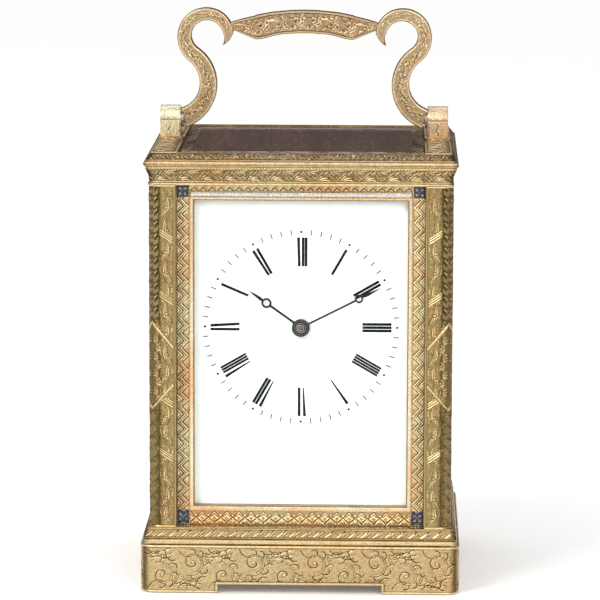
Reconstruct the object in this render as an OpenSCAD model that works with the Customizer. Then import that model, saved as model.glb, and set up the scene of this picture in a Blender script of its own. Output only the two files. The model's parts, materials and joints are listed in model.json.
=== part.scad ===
// Mantel clock in the carriage style: glazed brass case, folding scroll handle,
// eight-day timepiece movement with a lever platform on top.
// Units are millimetres. +X right, +Y to the back, +Z up.
// Origin: centre of the footprint, on the surface the clock stands on.

/* [Case] */

// Width over the plinth
case_w = 95; // [92:1:125]

// Depth over the plinth
case_d = 82; // [68:1:110]

// Height from the table to the rim of the cornice
case_h = 132; // [130:0.1:165]

// Height of the plinth band
plinth_h = 14.4; // [11:0.1:18]

// Thickness of the plinth wall
plinth_wall = 4; // [3:0.5:8]

// Height of the cut between the bracket feet
foot_cut = 2.5; // [1:0.1:5]

// Length of each bracket foot
foot_len = 23; // [15:1:30]

/* [Pillars and glass] */

// Width of a corner pillar on each face
pillar_w = 7.9; // [6.5:0.1:11]

// Rounding of a pillar's outer edge
pillar_r = 3.3; // [1.5:0.1:4]

// Thickness of the bevelled panes
glass_t = 2; // [1.5:0.1:3]

// Width of the border that masks the dial
mask_border = 5.3; // [4:0.1:9]

/* [Handle] */

// Thickness of the handle, front to back
handle_t = 4.5; // [3:0.1:6]

// Radius of the lower curl of a scroll
scroll_low_r = 11; // [8:0.1:13]

// Radius of the upper curl of a scroll
scroll_top_r = 6.9; // [5:0.1:8]

// Width of a handle bracket
bracket_w = 6.2; // [4.5:0.1:8]

/* [Movement] */

// Width of the movement plates
plate_w = 60; // [52:1:70]

// Thickness of the movement plates
plate_t = 2; // [1.5:0.1:2.5]

// Clear distance between the movement plates
plate_gap = 38; // [34:0.5:44]

// Teeth of the great wheel
great_n = 84; // [84:12:96]

// Radial running clearance of the pivots
pivot_c = 0.05; // [0.02:0.01:0.1]

/* [Build] */

/* [Hidden] */
$fn = 48;
e = 0.01;

// Levels
moulding_h = 2.0;
band_h = 3.2;
deck_z = plinth_h + moulding_h + band_h;
cornice_h = 9.4;
cornice_z = case_h - cornice_h;
pillar_h = cornice_z - deck_z;

// Half sizes of the case
bx = case_w / 2;
by = case_d / 2;
px = bx - 2.6;
py = by - 2.0;
open_x = px - pillar_w;
front_y = -py;

// Front stack, from the pane inwards
pane_y = front_y + 0.6;
mask_y = pane_y + glass_t + 1.0;
mask_t = 1.2;
dial_y = mask_y + mask_t + 1.6;
dial_t = 1.4;
aperture_x = open_x - mask_border;
aperture_z0 = deck_z + mask_border + 0.6;
aperture_z1 = cornice_z - mask_border + 0.4;

// Movement
mov_y = front_y + 15;
back_y = mov_y + plate_t + plate_gap;
plate_z0 = deck_z + 5;
plate_h = 84;
plate_z1 = plate_z0 + plate_h;
cz = plate_z0 + 54.8;
post_x = plate_w / 2 - 5;

// Train: centre distances and arbor positions, seen from the front
pinion_n = 12;
m_great = 0.42;
m_inter = 0.40;
m_centre = 0.30;
m_third = 0.27;
m_contrate = 0.25;
inter_n = 60;
centre_n = 80;
third_n = 75;
contrate_n = 80;
d_ic = (inter_n + 12) / 2 * m_inter;
d_bi = (great_n + 12) / 2 * m_great;
d_ct = (centre_n + 10) / 2 * m_centre;
d_tk = (third_n + 10) / 2 * m_third;
a_ci = -49.8;
a_ib = -135;
kz = 18.1;
tz = (d_ct * d_ct - d_tk * d_tk + kz * kz) / (2 * kz);
tx = sqrt(d_ct * d_ct - tz * tz);
C = [0, cz];
I = [d_ic * cos(a_ci), cz + d_ic * sin(a_ci)];
B = [I[0] + d_bi * cos(a_ib), I[1] + d_bi * sin(a_ib)];
T = [tx, cz + tz];
K = [0, cz + kz];
function dir(p, q) = atan2(q[1] - p[1], q[0] - p[0]);
function mesh_phase(th, pa, na, nb) = th + 180 - (0.5 - (th - pa) * na / 360) * 360 / nb;
ph_centre = 0;
ph_third_p = mesh_phase(dir(C, T), ph_centre, centre_n, 10);
ph_third = 1;
ph_contrate_p = mesh_phase(dir(T, K), ph_third, third_n, 10);
ph_inter = 2;
ph_centre_p = mesh_phase(dir(I, C), ph_inter, inter_n, 12);
ph_great = 0.5;
ph_inter_p = mesh_phase(dir(B, I), ph_great, great_n, 12);

// Motion work
M = [-9.6, cz - 7.2];
d_mw = 12;
cannon_n = 12;
minute_n = 36;
mpinion_n = 10;
hour_n = 40;
m_min = 0.5;
m_hr = 0.48;
ph_minute = 3;
ph_cannon = mesh_phase(dir(M, C), ph_minute, minute_n, cannon_n);
ph_hour = 1.5;
ph_mpinion = mesh_phase(dir(C, M), ph_hour, hour_n, mpinion_n);

// Time shown, degrees clockwise from twelve
minute_a = 63;
hour_a = 305.25;

// Platform
plat_z = plate_z1 + 1.5;
ey = mov_y + 26;
esc_r = 3.6;
pal_y = ey - esc_r / cos(30);
bal_y = pal_y - 7.0;
bal_r = 7.2;

// Handle
bracket_x = open_x + 0.45;
pivot_z = case_h + 6;
grip_x = bracket_x - 0.8;
low_x = grip_x + 3.5;
low_z = pivot_z + scroll_low_r * 54 / 55;
join_a = 53.4;
up_x = low_x - (scroll_low_r + scroll_top_r) * cos(join_a);
up_z = low_z + (scroll_low_r + scroll_top_r) * sin(join_a);
low_w = 5.5;
up_w = 4.3;

// Rear door
door_w = open_x * 2 - 2.0;
door_t = 2.6;
door_y = py - door_t;
door_pivot_x = open_x - 1.75;
door_pivot_y = door_y + door_t / 2;
door_z0 = deck_z + 0.5;
door_h = pillar_h - 1.0;
stile = 6.5;

// ---------- helpers ----------

// Cylinder along Y from y0, length l, at (x, z)
module ycyl(x, z, y0, l, r) {
  translate([x, y0, z])
    rotate([-90, 0, 0])
      cylinder(r = r, h = l);
}

// Block given by its low corner and size
module box(a, s) {
  translate(a) cube(s);
}

// Rectangle with round vertical edges
module rblock(w, d, h, r) {
  translate([-w / 2 + r, -d / 2, 0]) cube([w - 2 * r, d, h]);
  translate([-w / 2, -d / 2 + r, 0]) cube([w, d - 2 * r, h]);
  for (sx = [-1, 1], sy = [-1, 1])
    translate([sx * (w / 2 - r), sy * (d / 2 - r), 0]) cylinder(r = r, h = h);
}

// Mitred moulding: profile is a list of [z, inset from the half sizes]
module moulding(hx, hy, prof) {
  n = len(prof);
  intersection() {
    rotate([90, 0, 0])
      linear_extrude(height = 4 * hy, center = true)
        polygon(concat([for (p = prof) [hx - p[1], p[0]]],
                       [for (i = [n - 1:-1:0]) [-hx + prof[i][1], prof[i][0]]]));
    rotate([90, 0, 90])
      linear_extrude(height = 4 * hx, center = true)
        polygon(concat([for (p = prof) [hy - p[1], p[0]]],
                       [for (i = [n - 1:-1:0]) [-hy + prof[i][1], prof[i][0]]]));
  }
}

// Tooth ring as a polygon: wide root, narrow tip
function teeth(n, m, ph, a, d, wr, wt) = [
  for (i = [0:n - 1], k = [0:3])
    let (r = n * m / 2 + (k == 0 || k == 3 ? -d : a) * m,
         o = (k == 0 ? -wr : k == 1 ? -wt : k == 2 ? wt : wr),
         t = ph + (i + o) * 360 / n)
    [r * cos(t), r * sin(t)]
];

// Wheel and pinion in the XZ plane, seen from the front, from y0 to y0 + t
module wheel(p, n, m, ph, y0, t, bore, spokes = 5) {
  r = n * m / 2;
  rim = r - 1.2 * m - 1.1;
  translate([p[0], y0 + t, p[1]])
    rotate([90, 0, 0])
      difference() {
        linear_extrude(height = t) polygon(teeth(n, m, ph, 0.75, 1.2, 0.23, 0.10));
        translate([0, 0, -1]) cylinder(r = bore, h = t + 2);
        if (spokes > 0)
          difference() {
            translate([0, 0, -1]) cylinder(r = rim, h = t + 2);
            translate([0, 0, -2]) cylinder(r = bore + 1.6, h = t + 4);
            for (i = [0:spokes - 1])
              rotate([0, 0, i * 360 / spokes + 18])
                translate([0, -0.6, -2]) cube([rim + 1, 1.2, t + 4]);
          }
      }
}

module pinion(p, n, m, ph, y0, t, bore) {
  translate([p[0], y0 + t, p[1]])
    rotate([90, 0, 0])
      difference() {
        linear_extrude(height = t) polygon(teeth(n, m, ph, 0.7, 1.2, 0.2, 0.1));
        if (bore > 0)
          translate([0, 0, -1]) cylinder(r = bore, h = t + 2);
      }
}

// Arbor between the plates with a pivot at each end
module arbor(p, r, rp) {
  ycyl(p[0], p[1], mov_y + plate_t + 0.15, plate_gap - 0.3, r);
  ycyl(p[0], p[1], mov_y + 0.3, plate_gap + 2 * plate_t - 0.6, rp);
}

// Slotted screw along +Z: head on top, shank below
module screw(r, h, rs, l) {
  difference() {
    union() {
      cylinder(r = r, h = h);
      translate([0, 0, -l]) cylinder(r = rs, h = l + e);
    }
    translate([-r - 1, -0.25, h * 0.5]) cube([2 * r + 2, 0.5, h]);
  }
}

// Bevelled pane: w by h, thickness t along +Z, bevel on the upper edge
module pane(w, h, t, bw, bt) {
  moulding(w / 2, h / 2, [[0, 0], [t - bt, 0], [t, bw]]);
}

// ---------- case ----------

module base_plinth() {
  color("goldenrod")
    difference() {
      rblock(case_w, case_d, plinth_h, 4);
      difference() {
        box([-bx + plinth_wall, -by + plinth_wall, -1],
            [case_w - 2 * plinth_wall, case_d - 2 * plinth_wall, plinth_h + 2]);
        for (sx = [-1, 1], sy = [-1, 1])
          box([sx * (bx - 7) - 7, sy * (by - 7) - 7, plinth_h - 3.8], [14, 14, 8]);
      }
      box([-bx + foot_len, -by - 1, -1], [case_w - 2 * foot_len, case_d + 2, foot_cut + 1]);
      box([-bx - 1, -by + foot_len, -1], [case_w + 2, case_d - 2 * foot_len, foot_cut + 1]);
      base_screw_holes();
    }
}

scx = open_x + 3.4;
scy = py - pillar_w + 3.4;

module base_screw_holes() {
  for (sx = [-1, 1], sy = [-1, 1])
    translate([sx * scx, sy * scy, -1]) cylinder(r = 1.25, h = deck_z + 9.2);
}

module base_deck() {
  h0 = plinth_h;
  color("gold")
    difference() {
      moulding(bx, by, [
        [h0, 1.0], [h0 + 0.3, 0.7], [h0 + 0.8, 0.5], [h0 + 1.3, 0.6], [h0 + 1.6, 0.9],
        [h0 + 1.8, 1.4], [h0 + moulding_h, 1.5], [h0 + moulding_h + 0.01, 1.1], [deck_z, 1.7]
      ]);
      box([-bx + 9, -by + 9, h0 - 1], [case_w - 18, case_d - 18, moulding_h + band_h - 1.0]);
      base_screw_holes();
      for (sx = [-1, 1], y = [mov_y + plate_t + 3, back_y - 3])
        translate([sx * 16, y, 0]) cylinder(r = 1.05, h = deck_z + 1);
      translate([door_pivot_x, door_pivot_y, deck_z - 1.6]) cylinder(r = 0.95, h = 5);
    }
}

module base_screws() {
  color("silver")
    for (sx = [-1, 1], sy = [-1, 1])
      translate([sx * scx, sy * scy, plinth_h - 3.8])
        mirror([0, 0, 1]) screw(1.8, 1.2, 1.2, 3.8 + moulding_h + band_h + 7);
}

// Corner pillar with its outer edge round and grooves for the panes
module pillar(sx, sy) {
  gx = px - 0.6 - glass_t;
  difference() {
    translate([sx > 0 ? px - pillar_w : -px, sy > 0 ? py - pillar_w : -py, deck_z])
      cube([pillar_w, pillar_w, pillar_h]);
    difference() {
      translate([sx * (px - pillar_r / 2 + 1) - pillar_r / 2 - 1,
                 sy * (py - pillar_r / 2 + 1) - pillar_r / 2 - 1, deck_z - 1])
        cube([pillar_r + 2, pillar_r + 2, pillar_h + 2]);
      translate([sx * (px - pillar_r), sy * (py - pillar_r), deck_z - 2])
        cylinder(r = pillar_r, h = pillar_h + 4);
    }
    // side pane groove
    translate([sx > 0 ? gx - 0.05 : -gx - glass_t - 0.05,
               sy > 0 ? py - pillar_w - 1 : -py + pillar_w - 1.6, deck_z - 1])
      cube([glass_t + 0.1, 2.6, pillar_h + 2]);
    // front pane and mask grooves
    if (sy < 0) {
      translate([sx > 0 ? open_x - 1 : -open_x - 1.6, pane_y - 0.05, deck_z - 1])
        cube([2.6, glass_t + 0.1, pillar_h + 2]);
      translate([sx > 0 ? open_x - 1 : -open_x - 1.2, mask_y - 0.05, deck_z - 1])
        cube([2.2, mask_t + 0.1, pillar_h + 2]);
    }
    translate([sx * scx, sy * scy, deck_z - 1]) cylinder(r = 1.25, h = 9.2);
  }
}

module pillar_front_left() { color("goldenrod") pillar(-1, -1); }
module pillar_front_right() { color("goldenrod") pillar(1, -1); }
module pillar_rear_left() { color("goldenrod") pillar(-1, 1); }
module pillar_rear_right() { color("goldenrod") pillar(1, 1); }

top_ox = bracket_x - 0.4;
top_oy = by - 5.4;

module cornice() {
  z0 = cornice_z;
  color("goldenrod")
    difference() {
      moulding(bx, by, [
        [z0, 2.5], [z0 + 0.6, 2.5], [z0 + 0.7, 3.1], [z0 + 2.2, 2.9], [z0 + 3.6, 2.5],
        [z0 + 4.7, 2.0], [z0 + 5.2, 1.7], [z0 + 5.5, 1.8], [z0 + 5.8, 1.4], [z0 + 6.3, 1.1],
        [z0 + 6.9, 1.2], [z0 + 7.2, 1.5], [z0 + 7.3, 1.9], [case_h, 3.6]
      ]);
      box([-top_ox + 3, -top_oy + 3, z0 - 1], [2 * top_ox - 6, 2 * top_oy - 6, cornice_h + 2]);
      box([-top_ox, -top_oy, case_h - 2.6], [2 * top_ox, 2 * top_oy, 4]);
      for (sx = [-1, 1], sy = [-1, 1])
        translate([sx * (bracket_x + bracket_w / 2), sy * 2.4, case_h - 5]) cylinder(r = 0.95, h = 6);
      translate([door_pivot_x, door_pivot_y, z0 - 5]) cylinder(r = 0.95, h = 6.6);
    }
}

module top_glass() {
  color("lightblue", 0.4)
    translate([0, 0, case_h - 2.6])
      pane(2 * top_ox - 0.1, 2 * top_oy - 0.1, 2.5, 4.2, 1.0);
}

pane_h = pillar_h - 0.1;

module front_glass() {
  color("lightblue", 0.4)
    translate([0, pane_y + glass_t, deck_z + 0.05 + pane_h / 2])
      rotate([90, 0, 0]) pane(2 * open_x + 3, pane_h, glass_t, 6, 1);
}

module side_pane() {
  translate([px - 0.6 - glass_t, 0, deck_z + 0.05 + pane_h / 2])
    rotate([90, 0, 90]) pane(2 * (py - pillar_w) + 3, pane_h, glass_t, 6, 1);
}

module left_glass() { color("lightblue", 0.4) mirror([1, 0, 0]) side_pane(); }
module right_glass() { color("lightblue", 0.4) side_pane(); }

// ---------- handle ----------

module bracket(sx) {
  w = bracket_w;
  difference() {
    union() {
      translate([sx > 0 ? bracket_x : -bracket_x - w, 0, pivot_z])
        rotate([0, 90, 0]) cylinder(r = 4.1, h = w);
      translate([sx > 0 ? bracket_x : -bracket_x - w, -3.7, case_h])
        cube([w, 7.4, pivot_z - case_h]);
      translate([sx > 0 ? bracket_x - 0.3 : -bracket_x - w - 0.3, -4.9, case_h])
        cube([w + 0.6, 9.8, 1.2]);
    }
    translate([sx * (bracket_x + w / 2) - 5, 0, pivot_z])
      rotate([0, 90, 0]) cylinder(r = 1.4, h = 10);
    for (sy = [-1, 1])
      translate([sx * (bracket_x + w / 2), sy * 2.4, case_h - 1]) cylinder(r = 0.95, h = 3.6);
  }
}

module handle_bracket_left() { color("gold") bracket(-1); }
module handle_bracket_right() { color("gold") bracket(1); }

module bracket_screws() {
  color("silver")
    for (sx = [-1, 1], sy = [-1, 1])
      translate([sx * (bracket_x + bracket_w / 2), sy * 2.4, case_h - 4.9])
        cylinder(r = 0.95, h = 7.4);
}

module handle_pivot_pins() {
  color("silver")
    for (sx = [-1, 1]) {
      translate([sx > 0 ? grip_x - 2.7 : -bracket_x - bracket_w + 0.1, 0, pivot_z])
        rotate([0, 90, 0]) cylinder(r = 1.4, h = bracket_x - grip_x + 2.6 + bracket_w);
      translate([sx > 0 ? grip_x + 0.05 : -bracket_x, 0, pivot_z])
        rotate([0, 90, 0]) cylinder(r = 2.5, h = bracket_x - grip_x - 0.05);
    }
}

// Flat arc in the XZ plane from angle a0 to a1 (anticlockwise seen from the front)
module flat_arc(r, w, a0, a1, t) {
  rotate([90, 0, 0])
    rotate([0, 0, a0])
      rotate_extrude(angle = a1 - a0, $fn = 96)
        translate([r - w / 2, -t / 2]) square([w, t]);
}

module scroll_right() {
  a_end = asin((low_x - grip_x) / scroll_low_r);
  difference() {
    union() {
      translate([low_x, 0, low_z])
        flat_arc(scroll_low_r, low_w, 180 - join_a - 4, 270 - a_end, handle_t);
      translate([up_x, 0, up_z])
        flat_arc(scroll_top_r, up_w, -join_a - 4, 180 + 22, handle_t);
      translate([grip_x - 3.2, 0, pivot_z])
        rotate([0, 90, 0]) cylinder(r = 2.9, h = 3.2);
    }
    translate([grip_x - 2.8, 0, pivot_z])
      rotate([0, 90, 0]) cylinder(r = 1.45, h = 10);
    // flat end against the pivot collar
    translate([grip_x, -5, pivot_z - 5]) cube([3, 10, 9]);
    // pointed end of the curl
    translate([up_x - scroll_top_r - 5.2, 0, up_z - 2.2])
      rotate([0, 40, 0]) translate([-3, -5, -8]) cube([6, 10, 6.6]);
  }
}

module handle_scroll_right() { color("goldenrod") scroll_right(); }
module handle_scroll_left() { color("goldenrod") mirror([1, 0, 0]) scroll_right(); }

module handle_grip() {
  g = [[0, 8.1], [4, 7.9], [10, 7.4], [14.5, 6.4], [19, 5.3], [22, 4.5], [26, 4.2],
       [26, 2.6], [22, 2.2], [19, 1.1], [16, -0.15], [14.5, -0.76], [13, -0.55], [10, 0.3],
       [7, 0.85], [2.5, 1.15], [0, 1.2]];
  k = up_x / 29.5;
  color("goldenrod")
    difference() {
      translate([0, handle_t / 2, up_z])
        rotate([90, 0, 0])
          linear_extrude(height = handle_t)
            polygon(concat([for (p = g) [p[0] * k, p[1]]],
                           [for (i = [len(g) - 2:-1:1]) [-g[i][0] * k, g[i][1]]]));
      for (sx = [-1, 1])
        ycyl(sx * up_x, up_z, -10, 20, scroll_top_r + up_w / 2, $fn = 96);
    }
}

// ---------- dial side ----------

module dial_mask() {
  z0 = aperture_z0;
  h = aperture_z1 - aperture_z0;
  color("goldenrod")
    difference() {
      union() {
        box([-open_x - 1.1, mask_y, deck_z + 0.05], [2 * open_x + 2.2, mask_t, pane_h]);
        box([-aperture_x - 1.2, mask_y + e, z0 - 1.2],
            [2 * aperture_x + 2.4, dial_y - mask_y - e, h + 2.4]);
      }
      box([-aperture_x, mask_y - 1, z0], [2 * aperture_x, 10, h]);
    }
}

module dial() {
  color("white")
    difference() {
      box([-aperture_x - 1.2, dial_y, aperture_z0 - 1.2],
          [2 * aperture_x + 2.4, dial_t, aperture_z1 - aperture_z0 + 2.4]);
      ycyl(0, cz, dial_y - 1, 4, 2.25);
    }
}

foot_x = 22;
foot_z = 24;

module dial_feet() {
  color("peru")
    for (sx = [-1, 1], sz = [-1, 1]) {
      ycyl(sx * foot_x, cz + sz * foot_z, dial_y + dial_t, mov_y - dial_y - dial_t, 1.2);
      ycyl(sx * foot_x, cz + sz * foot_z, mov_y - e, plate_t, 0.8);
    }
}

module hand_blank(a, l, w, ring_r, ring_o, ring_i, hub_o, hub_i, y0, t) {
  translate([0, y0, cz])
    rotate([0, a, 0])
      difference() {
        union() {
          rotate([-90, 0, 0]) cylinder(r = hub_o, h = t);
          translate([-w / 2, 0, hub_i + 0.2]) cube([w, t, l * 0.9 - hub_i]);
          translate([0, t, l])
            rotate([90, 0, 0])
              linear_extrude(height = t)
                polygon([[0, 0], [-w * 0.8, -(l - ring_r) * 0.62], [-w * 0.3, -(l - ring_r)],
                         [w * 0.3, -(l - ring_r)], [w * 0.8, -(l - ring_r) * 0.62]]);
          translate([0, 0, ring_r]) rotate([-90, 0, 0]) cylinder(r = ring_o, h = t);
        }
        translate([0, -1, 0]) rotate([-90, 0, 0]) cylinder(r = hub_i, h = t + 2);
        translate([0, -1, ring_r]) rotate([-90, 0, 0]) cylinder(r = ring_i, h = t + 2);
      }
}

module hour_hand() {
  color("darkslateblue")
    hand_blank(hour_a, 19.2, 0.6, 12.6, 1.5, 0.95, 2.5, 1.9, dial_y - 0.55, 0.3);
}

module minute_hand() {
  color("darkslateblue")
    hand_blank(minute_a, 27.0, 0.55, 19.4, 1.25, 0.75, 2.2, 1.25, dial_y - 1.3, 0.3);
}

module hand_collet() {
  color("slategray")
    translate([0, dial_y - 1.8, cz])
      rotate([-90, 0, 0])
        difference() {
          cylinder(r = 2.65, h = 0.45);
          translate([0, 0, -1]) cylinder(r = 0.7, h = 3);
        }
}

module cannon_pinion() {
  color("silver") {
    pinion(C, cannon_n, m_min, ph_cannon, mov_y - 3.5, 2.5, 0.75);
    difference() {
      ycyl(0, cz, dial_y - 1.33, mov_y - 3.5 + e - dial_y + 1.33, 1.25);
      ycyl(0, cz, dial_y - 2, 30, 0.75);
    }
  }
}

module minute_wheel() {
  color("gold") {
    wheel(M, minute_n, m_min, ph_minute, mov_y - 3, 1, 0.85, 4);
    pinion(M, mpinion_n, m_hr, ph_mpinion, mov_y - 5.5, 2.5, 0.85);
  }
}

module minute_post() {
  union() {
    ycyl(M[0], M[1], mov_y - 5.8, 6.8, 0.8);
    ycyl(M[0], M[1], mov_y - 6.2, 0.5, 1.3);
    ycyl(M[0], M[1], mov_y - 1.9, 1.9, 1.3);
  }
}

module hour_wheel() {
  color("gold") {
    wheel(C, hour_n, m_hr, ph_hour, mov_y - 5, 1, 1.3, 4);
    difference() {
      ycyl(0, cz, dial_y - 0.58, mov_y - 5 + e - dial_y + 0.58, 1.9);
      ycyl(0, cz, dial_y - 2, 30, 1.3);
    }
  }
}

// ---------- movement frame ----------

post_z0 = plate_z0 + 6;
post_z1 = plate_z1 - 6;

module plate_blank(y0) {
  difference() {
    box([-plate_w / 2, y0, plate_z0], [plate_w, plate_t, plate_h]);
    ycyl(C[0], C[1], y0 - 1, 5, 0.8 + pivot_c);
    ycyl(I[0], I[1], y0 - 1, 5, 0.6 + pivot_c);
    ycyl(B[0], B[1], y0 - 1, 5, 1.6 + pivot_c);
    ycyl(T[0], T[1], y0 - 1, 5, 0.5 + pivot_c);
    ycyl(K[0], K[1], y0 - 1, 5, 0.4 + pivot_c);
    for (sx = [-1, 1], z = [post_z0, post_z1]) ycyl(sx * post_x, z, y0 - 1, 5, 1.3);
  }
}

module movement_front_plate() {
  color("gold") {
    difference() {
      plate_blank(mov_y);
      for (sx = [-1, 1], sz = [-1, 1]) ycyl(sx * foot_x, cz + sz * foot_z, mov_y - 1, 5, 0.8);
    }
    minute_post();
  }
}

module movement_back_plate() {
  color("gold")
    difference() {
      plate_blank(back_y);
      ycyl(click_p[0], click_p[1], back_y - 1, 5, 1.0);
      ycyl(spring_p[0], spring_p[1], back_y - 1, 5, 0.8);
    }
}

module movement_pillars() {
  color("gold")
    for (sx = [-1, 1], z = [post_z0, post_z1]) {
      ycyl(sx * post_x, z, mov_y + plate_t, plate_gap, 2.5);
      ycyl(sx * post_x, z, mov_y, plate_t + e, 1.3);
      ycyl(sx * post_x, z, back_y - e, plate_t, 1.3);
    }
}

module movement_screws() {
  plate_screws();
  mount_screws();
  click_screw();
  click_spring_screw();
}

module plate_screws() {
  color("steelblue")
    for (sx = [-1, 1], z = [post_z0, post_z1])
      translate([sx * post_x, back_y + plate_t, z])
        rotate([-90, 0, 0])
          difference() {
            cylinder(r = 2.1, h = 1.2);
            translate([-3, -0.25, 0.6]) cube([6, 0.5, 1]);
          }
}

module movement_blocks() {
  color("gold") {
    for (y = [mov_y + plate_t, back_y - 6])
      difference() {
        box([-20, y, deck_z], [40, 6, plate_z0 - deck_z + 4]);
        for (sx = [-1, 1]) translate([sx * 16, y + 3, deck_z - 1]) cylinder(r = 1.05, h = 6);
      }
    platform_blocks();
  }
}

module mount_screws() {
  color("silver")
    for (sx = [-1, 1], y = [mov_y + plate_t + 3, back_y - 3])
      translate([sx * 16, y, deck_z - 2.0])
        mirror([0, 0, 1]) screw(2.2, 1.2, 1.0, 6);
}

// ---------- going barrel and click work ----------

bar_y = mov_y + plate_t + 7;
drum_l = 20;
drum_r = 16.3;

module barrel() {
  color("gold")
    difference() {
      union() {
        ycyl(B[0], B[1], bar_y, drum_l, drum_r);
        pinion_like(B, great_n, m_great, ph_great, bar_y + drum_l, 2);
      }
      ycyl(B[0], B[1], bar_y - 1, drum_l - 0.2, drum_r - 1.0);
      ycyl(B[0], B[1], bar_y - 2, drum_l + 10, 2.05);
    }
}

module pinion_like(p, n, m, ph, y0, t) {
  translate([p[0], y0 + t, p[1]])
    rotate([90, 0, 0])
      linear_extrude(height = t) polygon(teeth(n, m, ph, 0.75, 1.2, 0.23, 0.10));
}

module barrel_cover() {
  color("gold")
    difference() {
      ycyl(B[0], B[1], bar_y, 1.2, drum_r - 1.0);
      ycyl(B[0], B[1], bar_y - 1, 4, 2.05);
      ycyl(B[0] + 10, B[1], bar_y - 1, 4, 1.0);
    }
}

sq_y = back_y + plate_t + 10;

module barrel_arbor() {
  color("silver") {
    ycyl(B[0], B[1], mov_y + plate_t + 0.15, plate_gap - 0.3, 2.0);
    ycyl(B[0], B[1], bar_y + 1.5, drum_l - 3.2, 4.0);
    ycyl(B[0], B[1], mov_y + 0.3, sq_y - 6 - mov_y - 0.3, 1.6);
    box([B[0] - 1.3, back_y + plate_t + 1.9, B[1] - 1.3], [2.6, sq_y - back_y - plate_t - 1.9, 2.6]);
  }
}

module mainspring() {
  k = 16;
  n = 9 * k;
  r0 = 4.35;
  r1 = drum_r - 1.75;
  function rr(i) = r0 + (r1 - r0) * i / n;
  color("dimgray")
    translate([B[0], bar_y + drum_l - 1.8, B[1]])
      rotate([90, 0, 0])
        linear_extrude(height = drum_l - 3.6)
          polygon(concat([for (i = [0:n]) rr(i) * [cos(i * 360 / k), sin(i * 360 / k)]],
                         [for (i = [n:-1:0]) (rr(i) + 0.45) * [cos(i * 360 / k), sin(i * 360 / k)]]));
}

ratchet_n = 24;
ratchet_r = 6.3;
click_a = 42;
click_d = ratchet_r + 3.4;
click_p = [B[0] + click_d * cos(click_a), B[1] + click_d * sin(click_a)];
spring_p = [click_p[0] + 7.0, click_p[1] + 1.0];

module ratchet_wheel() {
  color("silver")
    translate([B[0], back_y + plate_t + 1.8, B[1]])
      rotate([90, 0, 0])
        difference() {
          linear_extrude(height = 1.5)
            polygon([for (i = [0:ratchet_n - 1], k = [0:1])
              let (r = k == 0 ? ratchet_r - 0.9 : ratchet_r,
                   t = (i + (k == 0 ? 0 : 0.9)) * 360 / ratchet_n) [r * cos(t), r * sin(t)]]);
          translate([0, 0, -1]) cylinder(r = 1.6, h = 4);
        }
}

module click() {
  color("silver")
    translate([click_p[0], back_y + plate_t + 1.8, click_p[1]])
      rotate([90, 0, 0])
        difference() {
          union() {
            cylinder(r = 2.0, h = 1.5);
            linear_extrude(height = 1.5)
              polygon([[1.2, 1.6], [-4.6, 1.9], [-6.2, 0.6], [-6.05, -0.08], [-4.2, 0.3], [-1.2, -1.6]]);
          }
          translate([0, 0, -1]) cylinder(r = 1.05, h = 4);
        }
}

module click_screw() {
  color("steelblue") {
    ycyl(click_p[0], click_p[1], back_y + 0.2, plate_t + 1.9, 1.0);
    difference() {
      ycyl(click_p[0], click_p[1], back_y + plate_t + 1.9, 0.9, 1.9);
      box([click_p[0] - 3, back_y + plate_t + 2.4, click_p[1] - 0.25], [6, 1, 0.5]);
    }
  }
}

module click_spring() {
  color("silver")
    difference() {
      union() {
        ycyl(spring_p[0], spring_p[1], back_y + plate_t + 0.2, 1.3, 1.8);
        translate([spring_p[0], back_y + plate_t + 1.3, spring_p[1]])
          rotate([90, 0, 0])
            linear_extrude(height = 1.0)
              polygon([[0.5, 1.5], [-4.0, 3.0], [-10.2, 1.1], [-10.3, 1.45], [-4.0, 3.5], [0.9, 1.7]]);
      }
      ycyl(spring_p[0], spring_p[1], back_y, 8, 0.8);
    }
}

module click_spring_screw() {
  color("steelblue") {
    ycyl(spring_p[0], spring_p[1], back_y + 0.2, plate_t + 1.4, 0.8);
    ycyl(spring_p[0], spring_p[1], back_y + plate_t + 1.5, 0.7, 1.4);
  }
}

// ---------- train ----------

fi = mov_y + plate_t;

module intermediate_wheel() {
  color("gold") {
    wheel(I, inter_n, m_inter, ph_inter, fi + 32, 1.2, 0.9, 5);
    arbor(I, 0.9, 0.6);
    pinion(I, pinion_n, m_great, ph_inter_p, fi + 26, 4, 0);
  }
}

module centre_wheel() {
  color("gold") {
    wheel(C, centre_n, m_centre, ph_centre, fi + 1, 1.0, 1.0, 5);
    arbor(C, 1.0, 0.8);
    pinion(C, pinion_n, m_inter, ph_centre_p, fi + 31, 3, 0);
    ycyl(0, cz, dial_y - 1.9, mov_y + 1 - dial_y + 1.9, 0.7);
    ycyl(0, cz, back_y + 1, sq_y - back_y - 7, 0.8);
    box([-0.9, back_y + plate_t + 0.6, cz - 0.9], [1.8, sq_y - back_y - plate_t - 0.6, 1.8]);
  }
}

module third_wheel() {
  color("gold") {
    wheel(T, third_n, m_third, ph_third, fi + 8, 0.8, 0.7, 5);
    arbor(T, 0.7, 0.5);
    pinion(T, 10, m_centre, ph_third_p, fi + 0.5, 2.2, 0);
  }
}

con_y = ey - 1.0;
con_r = contrate_n * m_contrate / 2;

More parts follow.
